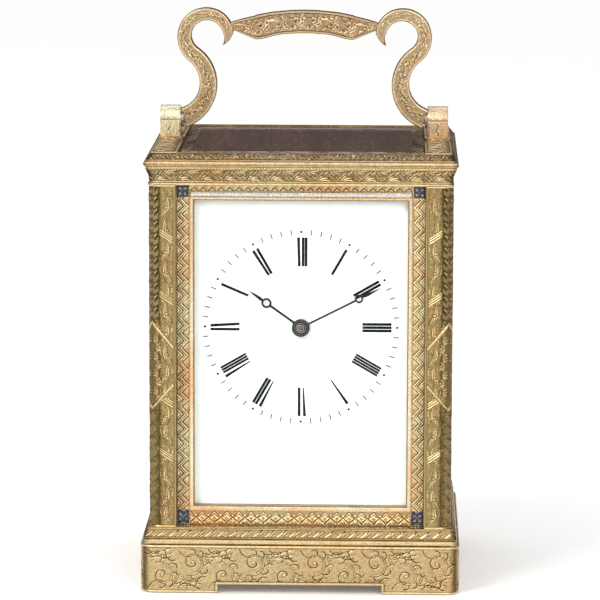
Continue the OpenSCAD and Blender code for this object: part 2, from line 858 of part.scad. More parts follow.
module contrate_wheel() {
  color("gold") {
    difference() {
      ycyl(K[0], K[1], con_y - 1.1, 0.8, con_r + 0.5);
      difference() {
        ycyl(K[0], K[1], con_y - 2, 4, con_r - 1.6);
        ycyl(K[0], K[1], con_y - 3, 6, 2.2);
        for (i = [0:3])
          translate([K[0], 0, K[1]])
            rotate([0, i * 90 + 45, 0]) box([-0.55, con_y - 3, 0], [1.1, 6, con_r]);
      }
    }
    for (i = [0:contrate_n - 1])
      translate([K[0], 0, K[1]])
        rotate([0, i * 360 / contrate_n, 0])
          box([-0.09, con_y - 0.31, con_r - 0.6], [0.18, 0.5, 1.05]);
    arbor(K, 0.6, 0.4);
    pinion(K, 10, m_third, ph_contrate_p, fi + 7.2, 2.4, 0);
  }
}

// ---------- lever platform ----------

module platform_plate() {
  color("gold") {
    escape_potence();
    difference() {
      box([-17, mov_y, plate_z1], [34, plate_gap + 2 * plate_t, 1.5]);
      translate([0, ey, plate_z1 - 1]) cylinder(r = 0.6, h = 4);
      translate([0, pal_y, plate_z1 - 1]) cylinder(r = 0.12 + pivot_c, h = 4);
      translate([0, bal_y, plate_z1 - 1]) cylinder(r = 0.12 + pivot_c, h = 4);
      for (sx = [-1, 1], y = [mov_y + 3, back_y - 3])
        translate([sx * 14, y, plate_z1 - 1]) cylinder(r = 0.9, h = 4);
      translate([8.5, ey - 1, plate_z1 - 1]) cylinder(r = 0.8, h = 4);
      translate([0, bal_y - 10.7, plate_z1 - 1]) cylinder(r = 0.8, h = 4);
    }
  }
}

module platform_blocks() {
    for (y = [mov_y + plate_t, back_y - 6], sx = [-1, 1])
      difference() {
        box([sx * 14 - 3, y, plate_z1 - 3.5], [6, 6, 3.5]);
        translate([sx * 14, y == mov_y + plate_t ? mov_y + 3 : back_y - 3, plate_z1 - 3])
          cylinder(r = 0.9, h = 4);
      }
}

module corner_screws() {
    for (sx = [-1, 1], y = [mov_y + 3, back_y - 3])
      translate([sx * 14, y, plat_z]) screw(1.7, 0.9, 0.9, 3.8);
}

module escape_potence() {
    difference() {
      union() {
        box([-1.5, ey - 0.45, plate_z1 - 4.6], [3, 4.95, 1.0]);
        box([-1.5, ey + 2.5, plate_z1 - 4.6], [3, 2, 4.6]);
      }
      translate([0, ey, plate_z1 - 6]) cylinder(r = 0.12 + pivot_c, h = 4);
    }
}

module escape_wheel() {
  z = plat_z + 1.6;
  n = 15;
  color("gold")
    difference() {
      translate([0, ey, z])
        linear_extrude(height = 0.4)
          polygon([for (i = [0:n - 1], k = [0:3])
            let (r = k == 0 || k == 3 ? esc_r - 1.0 : esc_r,
                 t = (i + (k == 0 ? 0.05 : k == 1 ? 0.45 : k == 2 ? 0.56 : 0.42)) * 24)
            [r * cos(t), r * sin(t)]]);
      difference() {
        translate([0, ey, z - 1]) cylinder(r = 2.0, h = 3);
        translate([0, ey, z - 2]) cylinder(r = 0.9, h = 5);
        for (i = [0:3])
          translate([0, ey, z - 2])
            rotate([0, 0, i * 90]) translate([0, -0.2, 0]) cube([2.3, 0.4, 5]);
      }
      translate([0, ey, z - 1]) cylinder(r = 0.3, h = 3);
    }
}

module escape_pinion() {
  color("silver") {
    translate([0, ey, plate_z1 - 2.5])
      linear_extrude(height = 1.9)
        polygon(teeth(8, m_contrate, -90 + 22.5, 0.7, 1.2, 0.2, 0.1));
    translate([0, ey, plate_z1 - 3.5]) cylinder(r = 0.3, h = 7.6);
    translate([0, ey, plate_z1 - 4.5]) cylinder(r = 0.12, h = 9.4);
  }
}

lev_z = plat_z + 1.6;

module pallet_lever() {
  color("silver") {
    translate([0, pal_y, lev_z]) cylinder(r = 0.5, h = 0.5);
    translate([0, pal_y, plat_z + 0.2]) cylinder(r = 0.3, h = 2.7);
    translate([0, pal_y, plat_z - 1.3]) cylinder(r = 0.12, h = 4.9);
    box([-2.2, pal_y - 0.35, lev_z], [4.4, 0.7, 0.5]);
    box([-0.3, pal_y - 5.2, lev_z], [0.6, 5.2, 0.5]);
    for (sx = [-1, 1])
      box([sx * 0.65 - 0.25, pal_y - 6.1, lev_z], [0.5, 1.2, 0.5]);
    box([-0.9, pal_y - 5.2, lev_z], [1.8, 0.4, 0.5]);
  }
}

module pallet_stones() {
  color("crimson")
    for (sx = [-1, 1]) box([sx * 1.95 - 0.22, pal_y + 0.35, lev_z + 0.05], [0.44, 0.35, 0.4]);
}

module escape_cock() {
  z = plat_z + 3.1;
  color("gold")
    difference() {
      union() {
        box([-1.3, pal_y - 1.2, z], [2.6, ey - pal_y + 2.4, 0.8]);
        box([-1.3, ey - 2.2, z], [11.5, 2.4, 0.8]);
        box([7.0, ey - 2.5, plat_z], [3.0, 3.0, 3.9]);
      }
      translate([0, ey, z - 1]) cylinder(r = 0.12 + pivot_c, h = 3);
      translate([0, pal_y, z - 1]) cylinder(r = 0.12 + pivot_c, h = 3);
      translate([8.5, ey - 1, plat_z - 1]) cylinder(r = 0.8, h = 8);
    }
}

bal_z = plat_z + 4.6;

module balance_wheel() {
  color("gold") {
    impulse_pin();
    difference() {
      translate([0, bal_y, bal_z]) cylinder(r = bal_r, h = 0.8);
      difference() {
        translate([0, bal_y, bal_z - 1]) cylinder(r = bal_r - 1, h = 3);
        translate([0, bal_y, bal_z - 2]) cylinder(r = 1.2, h = 5);
        box([-bal_r, bal_y - 0.5, bal_z - 2], [2 * bal_r, 1.0, 5]);
      }
    }
    translate([0, bal_y, plat_z + 0.3]) cylinder(r = 0.45, h = 6.3);
    translate([0, bal_y, plat_z - 1.2]) cylinder(r = 0.12, h = 8.9);
    translate([0, bal_y, plat_z + 2.6]) cylinder(r = 1.6, h = 0.4);
    for (i = [0:9])
      translate([0, bal_y, bal_z + 0.4])
        rotate([0, 90, i * 36 + 18]) translate([0, 0, bal_r - 0.1]) cylinder(r = 0.35, h = 0.7);
  }
}

module impulse_pin() {
  translate([0, bal_y + 1.3, plat_z + 2.2]) cylinder(r = 0.18, h = 0.4);
}

module hairspring() {
  k = 16;
  n = 5 * k;
  function rr(i) = 1.25 + 2.3 * i / n;
  color("steelblue")
    difference() {
      union() {
        translate([0, bal_y, plat_z + 5.9]) cylinder(r = 1.2, h = 0.5);
        translate([0, bal_y, plat_z + 6.0])
          linear_extrude(height = 0.25)
            polygon(concat([for (i = [-2:n]) rr(i) * [cos(i * 360 / k), sin(i * 360 / k)]],
                           [for (i = [n:-1:-2]) (rr(i) + 0.1) * [cos(i * 360 / k), sin(i * 360 / k)]]));
      }
      translate([0, bal_y, plat_z + 5]) cylinder(r = 0.45, h = 3);
    }
}

module balance_cock() {
  z = plat_z + 6.9;
  color("gold")
    difference() {
      union() {
        translate([0, bal_y, z]) cylinder(r = 2.2, h = 1.0);
        box([-1.6, bal_y - 9.5, z], [3.2, 9.5, 1.0]);
        box([-3.5, bal_y - 12.5, plat_z], [7, 3.6, 7.9]);
        box([3.45, bal_y - 0.3, plat_z + 5.95], [0.6, 0.6, 1.4]);
        box([1.0, bal_y - 0.3, z + 0.1], [3.05, 0.6, 0.8]);
      }
      translate([0, bal_y, z - 1]) cylinder(r = 0.12 + pivot_c, h = 3);
      translate([0, bal_y - 10.7, plat_z - 1]) cylinder(r = 0.8, h = 12);
    }
}

module platform_screws() {
  color("steelblue") {
    corner_screws();
    translate([0, bal_y - 10.7, plat_z + 7.9]) screw(1.5, 0.8, 0.8, 9);
    translate([8.5, ey - 1, plat_z + 3.9]) screw(1.4, 0.7, 0.8, 5);
  }
}

module regulator_index() {
  z = plat_z + 7.95;
  color("silver")
    difference() {
      union() {
        translate([0, bal_y, z]) cylinder(r = 1.7, h = 0.35);
        translate([0, bal_y, z]) rotate([0, 0, 60]) box([0, -0.3, 0], [6.5, 0.6, 0.35]);
      }
      translate([0, bal_y, z - 1]) cylinder(r = 0.85, h = 3);
    }
}

// ---------- rear door ----------

module rear_door_frame() {
  x0 = -open_x + 0.35;
  w = door_pivot_x - x0;
  color("goldenrod")
    difference() {
      union() {
        box([x0, door_y, door_z0], [w, door_t, door_h]);
        translate([door_pivot_x, door_pivot_y, door_z0]) cylinder(r = door_t / 2, h = door_h);
      }
      box([x0 + stile, door_y - 1, door_z0 + stile],
          [2 * -(x0 + stile), door_t + 2, door_h - 2 * stile]);
      box([x0 + stile - 1.5, door_y - 1, door_z0 + stile - 1.5],
          [2 * -(x0 + stile - 1.5), 2.4, door_h - 2 * stile + 3]);
      translate([x0 + 3, door_y + 1, cz])
        rotate([-90, 0, 0]) cylinder(r = 0.8, h = 5);
    }
}

module rear_door_glass() {
  x0 = -open_x + 0.35;
  w = -2 * (x0 + stile - 1.5) - 0.2;
  color("lightblue", 0.4)
    translate([0, door_y - 0.1, door_z0 + door_h / 2])
      rotate([-90, 0, 0]) pane(w, door_h - 2 * stile + 2.8, 1.5, 3, 0.7);
}

module rear_door_hinge_pins() {
  color("silver") {
    translate([door_pivot_x, door_pivot_y, deck_z - 1.4]) cylinder(r = 0.9, h = door_z0 - deck_z + 1.4);
    translate([door_pivot_x, door_pivot_y, door_z0 + door_h]) cylinder(r = 0.9, h = 1.9);
  }
}

module rear_door_knob() {
  color("gold")
    translate([-open_x + 3.35, py, cz])
      rotate([-90, 0, 0])
        union() {
          translate([0, 0, -1.5]) cylinder(r = 0.8, h = 1.8);
          cylinder(r = 1.3, h = 0.8);
          translate([0, 0, 0.7]) cylinder(r = 2.3, h = 1.2);
        }
}

base_plinth();
base_deck();
base_screws();
pillar_front_left();
pillar_front_right();
pillar_rear_left();
pillar_rear_right();
cornice();
top_glass();
front_glass();
left_glass();
right_glass();
handle_bracket_left();
handle_bracket_right();
bracket_screws();
handle_pivot_pins();
handle_scroll_left();
handle_scroll_right();
handle_grip();
dial_mask();
dial();
dial_feet();
hour_hand();
minute_hand();
hand_collet();
cannon_pinion();
minute_wheel();
hour_wheel();
movement_front_plate();
movement_back_plate();
movement_pillars();
movement_screws();
movement_blocks();
barrel();
barrel_cover();
barrel_arbor();
mainspring();
ratchet_wheel();
click();
click_spring();
intermediate_wheel();
centre_wheel();
third_wheel();
contrate_wheel();
platform_plate();
platform_screws();
escape_wheel();
escape_pinion();
pallet_lever();
pallet_stones();
escape_cock();
balance_wheel();
hairspring();
balance_cock();
regulator_index();
rear_door_frame();
rear_door_glass();
rear_door_hinge_pins();
rear_door_knob();
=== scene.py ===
import json
import math

import bpy
import numpy as np
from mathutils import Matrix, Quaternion, Vector

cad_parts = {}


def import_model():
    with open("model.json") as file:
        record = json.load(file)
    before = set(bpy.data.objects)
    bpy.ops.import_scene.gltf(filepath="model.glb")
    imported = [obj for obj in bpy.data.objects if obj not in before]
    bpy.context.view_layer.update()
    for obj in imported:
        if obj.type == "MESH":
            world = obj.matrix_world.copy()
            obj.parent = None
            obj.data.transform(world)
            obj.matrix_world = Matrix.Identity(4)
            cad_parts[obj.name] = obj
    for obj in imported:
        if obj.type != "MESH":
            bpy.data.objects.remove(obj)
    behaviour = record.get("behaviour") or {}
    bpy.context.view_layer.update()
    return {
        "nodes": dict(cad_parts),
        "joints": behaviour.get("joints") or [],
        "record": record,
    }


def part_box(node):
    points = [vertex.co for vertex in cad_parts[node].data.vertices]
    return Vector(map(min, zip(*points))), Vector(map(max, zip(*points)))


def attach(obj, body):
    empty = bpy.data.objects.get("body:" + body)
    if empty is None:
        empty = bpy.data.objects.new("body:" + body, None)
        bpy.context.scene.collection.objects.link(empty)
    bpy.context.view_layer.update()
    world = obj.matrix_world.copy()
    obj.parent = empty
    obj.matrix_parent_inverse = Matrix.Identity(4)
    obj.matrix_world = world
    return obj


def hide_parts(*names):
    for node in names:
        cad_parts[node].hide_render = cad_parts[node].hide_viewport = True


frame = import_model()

MM = 0.001
N = frame["nodes"]
RNG = np.random.default_rng(11)


def lo(n):
    """Low corner of a CAD node's box, in mm."""
    return [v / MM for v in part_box(n)[0]]


def hi(n):
    """High corner of a CAD node's box, in mm."""
    return [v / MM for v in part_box(n)[1]]


def joint_z(name):
    """Height of a joint's axis, in mm."""
    return [j for j in frame["joints"] if j["name"] == name][0]["pos_m"][2] / MM


def add_object(name, data):
    ob = bpy.data.objects.new(name, data)
    bpy.context.scene.collection.objects.link(ob)
    return ob


# ---------------------------------------------------------------- camera, light, floor
CAMERA_AT = (0.0277, -1.1225, 0.26395)
CAMERA_YAW, CAMERA_PITCH, CAMERA_ROLL = -0.0257, -0.1604, 0.0031
SENSOR_MM, FOCAL_PX, FRAME_PX = 36, 3710, 600


def camera():
    cam = bpy.data.cameras.new("Camera")
    ob = add_object("Camera", cam)
    ob.location = CAMERA_AT
    level = math.cos(CAMERA_PITCH)
    d = Vector((math.sin(CAMERA_YAW) * level, math.cos(CAMERA_YAW) * level, math.sin(CAMERA_PITCH)))
    q = d.to_track_quat("-Z", "Y") @ Quaternion((0, 0, 1), CAMERA_ROLL)
    ob.rotation_euler = q.to_euler()
    cam.sensor_width = SENSOR_MM
    cam.lens = FOCAL_PX * SENSOR_MM / FRAME_PX
    cam.clip_start = 0.05
    cam.clip_end = 20
    bpy.context.scene.camera = ob


def area(name, loc, target, size, size_y, power, color=(1, 1, 1)):
    light = bpy.data.lights.new(name, "AREA")
    light.shape = "RECTANGLE"
    light.size, light.size_y, light.energy, light.color = size, size_y, power, color
    ob = add_object(name, light)
    ob.location = loc
    ob.rotation_euler = (Vector(target) - Vector(loc)).to_track_quat("-Z", "Y").to_euler()


WORLD_LOW, WORLD_MID, WORLD_TOP = (0.50, 0.49, 0.48), (0.95, 0.94, 0.92), (1.25, 1.25, 1.25)
WALL_DARK = (0.105, 0.078, 0.078)


def world():
    """Soft white room, brighter overhead, with a dark wall behind the clock that only reflections see."""
    w = bpy.data.worlds.new("World")
    bpy.context.scene.world = w
    w.use_nodes = True
    t = w.node_tree
    t.nodes.clear()

    def node(kind, **kw):
        n = t.nodes.new(kind)
        for k, v in kw.items():
            setattr(n, k, v)
        return n

    def smooth(src, out, a, b):
        n = node("ShaderNodeMapRange", interpolation_type="SMOOTHSTEP")
        t.links.new(src.outputs[out], n.inputs["Value"])
        n.inputs["From Min"].default_value, n.inputs["From Max"].default_value = a, b
        return n

    out, bg = node("ShaderNodeOutputWorld"), node("ShaderNodeBackground")
    co, sep = node("ShaderNodeTexCoord"), node("ShaderNodeSeparateXYZ")
    t.links.new(co.outputs["Generated"], sep.inputs[0])
    ramp = node("ShaderNodeValToRGB")
    el = ramp.color_ramp.elements
    el[0].position, el[0].color = 0.0, (*WORLD_LOW, 1)
    el[1].position, el[1].color = 1.0, (*WORLD_TOP, 1)
    e2 = el.new(0.45)
    e2.color = (*WORLD_MID, 1)
    up = smooth(sep, "Z", -0.05, 0.95)
    t.links.new(up.outputs[0], ramp.inputs["Fac"])
    back = smooth(sep, "Y", 0.45, 0.85)
    low = smooth(sep, "Z", -0.08, 0.0)
    high = smooth(sep, "Z", 0.55, 0.30)
    m1, m2 = node("ShaderNodeMath", operation="MULTIPLY"), node("ShaderNodeMath", operation="MULTIPLY")
    t.links.new(back.outputs[0], m1.inputs[0])
    t.links.new(low.outputs[0], m1.inputs[1])
    t.links.new(m1.outputs[0], m2.inputs[0])
    t.links.new(high.outputs[0], m2.inputs[1])
    ab = node("ShaderNodeMath", operation="ABSOLUTE")
    t.links.new(sep.outputs["X"], ab.inputs[0])
    side, side_top = smooth(ab, 0, 0.45, 0.85), smooth(sep, "Z", 0.75, 0.35)
    m3, m4 = node("ShaderNodeMath", operation="MULTIPLY"), node("ShaderNodeMath", operation="MAXIMUM")
    t.links.new(side.outputs[0], m3.inputs[0])
    t.links.new(side_top.outputs[0], m3.inputs[1])
    t.links.new(m2.outputs[0], m4.inputs[0])
    t.links.new(m3.outputs[0], m4.inputs[1])
    mix = node("ShaderNodeMix", data_type="RGBA")
    t.links.new(m4.outputs[0], mix.inputs[0])
    t.links.new(ramp.outputs["Color"], mix.inputs[6])
    mix.inputs[7].default_value = (*WALL_DARK, 1)
    t.links.new(mix.outputs[2], bg.inputs["Color"])
    bg.inputs["Strength"].default_value = 1.0
    t.links.new(bg.outputs["Background"], out.inputs["Surface"])


# ---------------------------------------------------------------- materials
class Mat:
    """A node material with helpers for its usual parts."""

    def __init__(self, name):
        self.m = bpy.data.materials.new(name)
        self.m.use_nodes = True
        self.t = self.m.node_tree
        self.b = self.t.nodes["Principled BSDF"]
        self.out = self.t.nodes["Material Output"]
        self.tc = self.node("ShaderNodeTexCoord")

    def node(self, kind, **values):
        n = self.t.nodes.new(kind)
        for k, v in values.items():
            if k.startswith("_"):
                setattr(n, k[1:], v)
            else:
                n.inputs[k].default_value = v
        return n

    def link(self, a, ao, b, bi):
        self.t.links.new(a.outputs[ao], b.inputs[bi])

    def ramp(self, stops):
        n = self.t.nodes.new("ShaderNodeValToRGB")
        e = n.color_ramp.elements
        while len(e) > 1:
            e.remove(e[-1])
        e[0].position, e[0].color = stops[0][0], (*stops[0][1], 1)
        for p, c in stops[1:]:
            x = e.new(p)
            x.color = (*c, 1)
        return n

    def noise(self, scale, detail=2.0, roughness=0.5):
        """A noise texture in object space."""
        n = self.node("ShaderNodeTexNoise", Scale=scale, Detail=detail, Roughness=roughness)
        self.link(self.tc, "Object", n, "Vector")
        return n

    def ramp_of(self, n, stops):
        """A colour ramp driven by a texture's Fac."""
        r = self.ramp(stops)
        self.link(n, "Fac", r, "Fac")
        return r

    def multiply(self, fac, a, b):
        """Colour a multiplied by colour b; a and b are nodes with their output, or colours."""
        n = self.t.nodes.new("ShaderNodeMix")
        n.data_type = "RGBA"
        n.blend_type = "MULTIPLY"
        for sock, val in ((0, fac), (6, a), (7, b)):
            if isinstance(val, tuple) and hasattr(val[0], "outputs"):
                self.t.links.new(val[0].outputs[val[1]], n.inputs[sock])
            elif isinstance(val, tuple):
                n.inputs[sock].default_value = (*val, 1)
            else:
                n.inputs[sock].default_value = val
        return (n, 2)

    def roughness(self, n, low, high):
        """Roughness that follows a texture between low and high."""
        mr = self.node("ShaderNodeMapRange")
        self.link(n, "Fac", mr, "Value")
        mr.inputs["To Min"].default_value = low
        mr.inputs["To Max"].default_value = high
        self.link(mr, "Result", self.b, "Roughness")

    def bump(self, n, strength, distance, shader=None):
        bp = self.node("ShaderNodeBump", Strength=strength, Distance=distance)
        self.link(n, "Fac", bp, "Height")
        self.link(bp, "Normal", shader or self.b, "Normal")

    def metal(self, ramp):
        self.link(ramp, "Color", self.b, "Base Color")
        self.b.inputs["Metallic"].default_value = 1.0


def scaled(color, k):
    """A colour times k, at most 1."""
    return tuple(min(1, c * k) for c in color)


def brass_relief(name, lows, mids, highs, rough=0.36, tint=(0.78, 0.47, 0.30), tint_amt=0.35):
    """Gilt brass: the attribute relief gives dark recesses with painted shade, mid ground and bright raised
    parts with painted highlights.
    """
    m = Mat(name)
    at = m.node("ShaderNodeAttribute", _attribute_name="relief")
    between = tuple(0.5 * (a + b) for a, b in zip(lows, mids))
    r = m.ramp_of(at, [(0.0, lows), (0.30, between), (0.5, mids), (0.82, highs),
            (1.0, scaled(highs, 1.12))])
    # reddish patina in large spots
    spots = m.ramp_of(m.noise(55.0, 3.0, 0.55), [(0.42, (0, 0, 0)), (0.66, (1, 1, 1))])
    amt = m.node("ShaderNodeMath", _operation="MULTIPLY")
    m.link(spots, "Color", amt, 0)
    amt.inputs[1].default_value = tint_amt
    c = m.multiply((amt, 0), (r, 0), scaled(tint, 1.25))
    # fine grain
    grain = m.noise(1400.0, 2.0, 0.6)
    c2 = m.multiply(0.8, c, (m.ramp_of(grain, [(0.3, (0.62, 0.62, 0.62)), (0.6, (1, 1, 1))]), 0))
    m.link(c2[0], c2[1], m.b, "Base Color")
    m.b.inputs["Metallic"].default_value = 1.0
    m.roughness(m.noise(240.0, 4.0), rough - 0.10, rough + 0.14)
    m.bump(grain, 0.35, 0.00006)
    return m.m


def brass_plain(name, base, rough=0.28, dark=0.55, scale=90.0, grain=(1, 1, 1)):
    """Smooth or grained brass with a little patina and fine scratches."""
    m = Mat(name)
    patina = m.noise(scale, 4.0, 0.6)
    m.metal(m.ramp_of(patina, [(0.3, tuple(c * dark for c in base)), (0.55, base),
            (0.8, scaled(base, 1.15))]))
    mp = m.node("ShaderNodeMapping")
    mp.inputs["Scale"].default_value = grain
    m.link(m.tc, "Object", mp, "Vector")
    n2 = m.node("ShaderNodeTexNoise", Scale=900.0, Detail=3.0)
    m.link(mp, "Vector", n2, "Vector")
    m.roughness(n2, rough - 0.07, rough + 0.12)
    m.bump(n2, 0.12, 0.00005)
    return m.m


def glass(name, tint=(0.97, 0.985, 0.98), rough=0.0, ior=1.5, bevels=0.0):
    """Clear plate glass that lets shadow rays through; bevels paints a brass reflection onto its sloping
    edges.
    """
    m = Mat(name)
    m.t.nodes.remove(m.b)
    g = m.node("ShaderNodeBsdfGlass", Roughness=rough, IOR=ior)
    g.inputs["Color"].default_value = (*tint, 1)
    m.bump(m.noise(6.0, 1.0), 0.03, 0.0002, g)
    tr = m.node("ShaderNodeBsdfTransparent")
    tr.inputs["Color"].default_value = (0.93, 0.95, 0.94, 1)
    lp = m.node("ShaderNodeLightPath")
    mx = m.node("ShaderNodeMixShader")
    m.link(lp, "Is Shadow Ray", mx, "Fac")
    if bevels:
        g = bevel_gloss(m, g, bevels)
    m.link(g, 0, mx, 1)
    m.link(tr, 0, mx, 2)
    m.link(mx, 0, m.out, "Surface")
    return m.m


def bevel_gloss(m, clear, amount):
    """Mix a painted brass reflection, a glossy shader in brass colours, into glass on its slopes that look
    up but are not level.
    """
    ge, sx = m.node("ShaderNodeNewGeometry"), m.node("ShaderNodeSeparateXYZ")
    m.link(ge, "True Normal", sx, 0)
    slope = m.ramp([(0.90, (1, 1, 1)), (0.975, (1, 1, 1)), (0.985, (0, 0, 0))])
    m.link(sx, "Z", slope, "Fac")
    upward = m.node("ShaderNodeMath", _operation="GREATER_THAN")
    m.link(sx, "Z", upward, 0)
    upward.inputs[1].default_value = 0.5
    both = m.node("ShaderNodeMath", _operation="MULTIPLY")
    m.link(slope, "Color", both, 0)
    m.link(upward, 0, both, 1)
    fac = m.node("ShaderNodeMath", _operation="MULTIPLY")
    m.link(both, 0, fac, 0)
    fac.inputs[1].default_value = amount
    gloss = m.node("ShaderNodeBsdfGlossy", Roughness=0.35)
    brass = m.ramp_of(m.noise(260.0), [(0.35, (0.20, 0.16, 0.11)), (0.65, (0.62, 0.52, 0.38))])
    m.link(brass, "Color", gloss, "Color")
    mixed = m.node("ShaderNodeMixShader")
    m.link(fac, 0, mixed, 0)
    m.link(clear, 0, mixed, 1)
    m.link(gloss, 0, mixed, 2)
    return mixed


def steel(name, base, rough=0.25, blue=None):
    """Polished steel with fine wear; blue is the second colour of blued steel."""
    m = Mat(name)
    n1 = m.noise(400.0, 3.0)
    m.metal(m.ramp_of(n1, [(0.3, tuple(c * 0.7 for c in base)), (0.7, blue or scaled(base, 1.1))]))
    m.roughness(n1, rough - 0.05, rough + 0.1)
    return m.m


def enamel(name, base=(0.93, 0.93, 0.91), rough=0.12):
    """Glossy white enamel with a faint unevenness."""
    m = Mat(name)
    n1 = m.noise(30.0)
    r1 = m.ramp_of(n1, [(0.3, tuple(c * 0.985 for c in base)), (0.7, base)])
    m.link(r1, "Color", m.b, "Base Color")
    m.roughness(n1, rough, rough + 0.06)
    m.b.inputs["Coat Weight"].default_value = 0.3
    return m.m


def ink(name, base):
    """Dark matt paint or dull steel, slightly mottled."""
    m = Mat(name)
    r1 = m.ramp_of(m.noise(700.0), [(0.35, tuple(c * 0.8 for c in base)),
            (0.75, tuple(c * 1.25 for c in base))])
    m.link(r1, "Color", m.b, "Base Color")
    m.b.inputs["Roughness"].default_value = 0.45
    m.b.inputs["Specular IOR Level"].default_value = 0.15
    return m.m


# ---------------------------------------------------------------- engraving
class Engraving:
    """A height field in millimetres over w by h, and a tone from 0, recess, to 1, raised edge; the low
    tones are painted shade and the high ones painted highlights.
    """

    body = 0.60

    def __init__(self, w, h, step, ground=0.42, stipple=0.16):
        self.w, self.h = w, h
        self.nx, self.ny = int(round(w / step)) + 1, int(round(h / step)) + 1
        self.x = np.linspace(0, w, self.nx)
        self.y = np.linspace(0, h, self.ny)
        self.z = np.zeros((self.nx, self.ny))
        self.k = np.full((self.nx, self.ny), ground)
        if stipple:
            c = RNG.random((self.nx // 2 + 2, self.ny // 2 + 2))
            c = np.kron(c, np.ones((2, 2)))[: self.nx, : self.ny]
            self.k += (c - 0.5) * 2 * stipple
            self.z += (c - 0.5) * 0.05

    def _window(self, pts, pad):
        x0, y0 = pts.min(0) - pad
        x1, y1 = pts.max(0) + pad
        i0, i1 = np.searchsorted(self.x, [x0, x1])
        j0, j1 = np.searchsorted(self.y, [y0, y1])
        return i0, i1, j0, j1

    def stroke(self, pts, wid, top=0.14, edge=0.17, depth=0.15, tone=0.85):
        """A rounded raised line along pts, wid wide on each side, in a dark groove of painted shade; the
        line is lighter towards its edges, a painted highlight with some rubbed gilding.
        """
        pts = np.asarray(pts, float)
        wid = np.broadcast_to(np.asarray(wid, float), (len(pts),))
        i0, i1, j0, j1 = self._window(pts, wid.max() + edge + 0.1)
        if i1 <= i0 or j1 <= j0:
            return
        X, Y = np.meshgrid(self.x[i0:i1], self.y[j0:j1], indexing="ij")
        D = np.full(X.shape, 1e9)
        W = np.zeros(X.shape)
        for (px, py), w in zip(pts, wid):
            d = np.hypot(X - px, Y - py) - w
            m = d < D
            D[m] = d[m]
            W[m] = w
        inside = D < 0
        ring = (D >= 0) & (D < edge)
        q = np.clip(-D / np.maximum(W, 0.05), 0, 1)
        Z, K = self.z[i0:i1, j0:j1], self.k[i0:i1, j0:j1]
        Z[inside] = top * np.sqrt(np.clip(1 - (1 - q[inside]) ** 2, 0, 1))
        # the body, lighter towards its edges: painted highlight, partly rubbed gilding
        K[inside] = self.body + 0.45 * (tone - 0.8) + 0.10 * (1 - q[inside])
        Z[ring] = -depth
        # the dark groove round it: painted shade
        K[ring] = 0.10

    def soften(self, dark, light=1.0, mid=0.60):
        """Pull the dark and bright tones towards the middle tone."""
        d = self.k - mid
        self.k = mid + np.where(d < 0, d * dark, d * light)
        return self

    def cut(self, pts, w=0.13, tone=0.10, lip=0.95):
        """A thin dark line of painted shade with a bright lip under it, a painted highlight."""
        pts = np.asarray(pts, float)
        self.stroke(pts + (0.21, -0.21), 0.15, top=0.08, edge=0.0, tone=lip)
        self.line(pts, w, 0.12, tone)

    def painted_glints(self, n, length, w, ang=0.6, tone=1.1, x0=0.0, x1=None, y0=0.0, y1=None):
        """Short bright cuts scattered over the field: painted glints."""
        x1, y1 = self.w if x1 is None else x1, self.h if y1 is None else y1
        for _ in range(n):
            px, py = RNG.uniform(x0, x1), RNG.uniform(y0, y1)
            turn = RNG.choice([-1, 1]) * ang + RNG.normal(0, 0.4)
            size = length * RNG.uniform(0.6, 1.2)
            c = curl(px, py, turn, size, RNG.choice([-1, 1]) * 0.9, 9)
            self.stroke(c, tear(9, w), edge=0.0, tone=tone)

    def paint_slope_light(self, amt=0.30, lx=-0.45, ly=0.9):
        """Painted light and shade: brighter on slopes that face up and to the left, darker on those that
        face away.
        """
        gx, gy = np.gradient(self.z, self.x, self.y)
        self.k += amt * np.clip(-(gx * lx + gy * ly), -1.0, 1.2)
        return self

    def line(self, pts, w=0.14, depth=0.12, tone=0.05):
        """A plain groove along pts; its tone, dark by default, is painted shade in the groove."""
        pts = np.asarray(pts, float)
        i0, i1, j0, j1 = self._window(pts, w + 0.1)
        if i1 <= i0 or j1 <= j0:
            return
        X, Y = np.meshgrid(self.x[i0:i1], self.y[j0:j1], indexing="ij")
        D = np.full(X.shape, 1e9)
        for px, py in pts:
            D = np.minimum(D, np.hypot(X - px, Y - py))
        m = D < w
        self.z[i0:i1, j0:j1][m] = -depth
        self.k[i0:i1, j0:j1][m] = tone

    def border(self, t=0.55, top=0.14, groove=0.22, sides="lrbt", tone=0.78):
        """A raised bead along the named sides (left, right, bottom, top) with a groove inside it; the bead
        is painted brightest along its crown as a highlight, the groove dark as painted shade.
        """
        X, Y = np.meshgrid(self.x, self.y, indexing="ij")
        from_side = {"l": X, "r": self.w - X, "b": Y, "t": self.h - Y}
        d = np.min([from_side[s] for s in sides], axis=0)
        m = d < t
        self.z[m] = top * np.sin(np.pi * np.clip(d[m] / t, 0.08, 0.92)) ** 0.5
        self.k[m] = tone + 0.2 * np.sin(np.pi * d[m] / t)
        g = (d >= t) & (d < t + groove)
        self.z[g] = -0.12
        self.k[g] = 0.05


def spiral(cx, cy, r0, r1, a0, turns, n):
    t = np.linspace(0, 1, n)
    r = r0 + (r1 - r0) * t ** 0.85
    a = a0 + turns * 2 * np.pi * t
    return np.stack([cx + r * np.cos(a), cy + r * np.sin(a)], 1)


def curl(x, y, ang, length, bend, n=18):
    """A curved stem from (x, y) that starts at ang and turns by bend."""
    t = np.linspace(0, 1, n)
    a = ang + bend * t ** 1.3
    step = length / (n - 1)
    px = x + np.concatenate([[0], np.cumsum(np.cos(a[:-1]) * step)])
    py = y + np.concatenate([[0], np.cumsum(np.sin(a[:-1]) * step)])
    return np.stack([px, py], 1)


def tear(n, w, p=0.75):
    """Half widths of a stroke that swells and ends in a point."""
    t = np.linspace(0, 1, n)
    return w * np.clip(np.sin(np.pi * (0.06 + 0.94 * t) ** p), 0.03, 1)


def taper(n, a, b):
    return np.linspace(a, b, n)


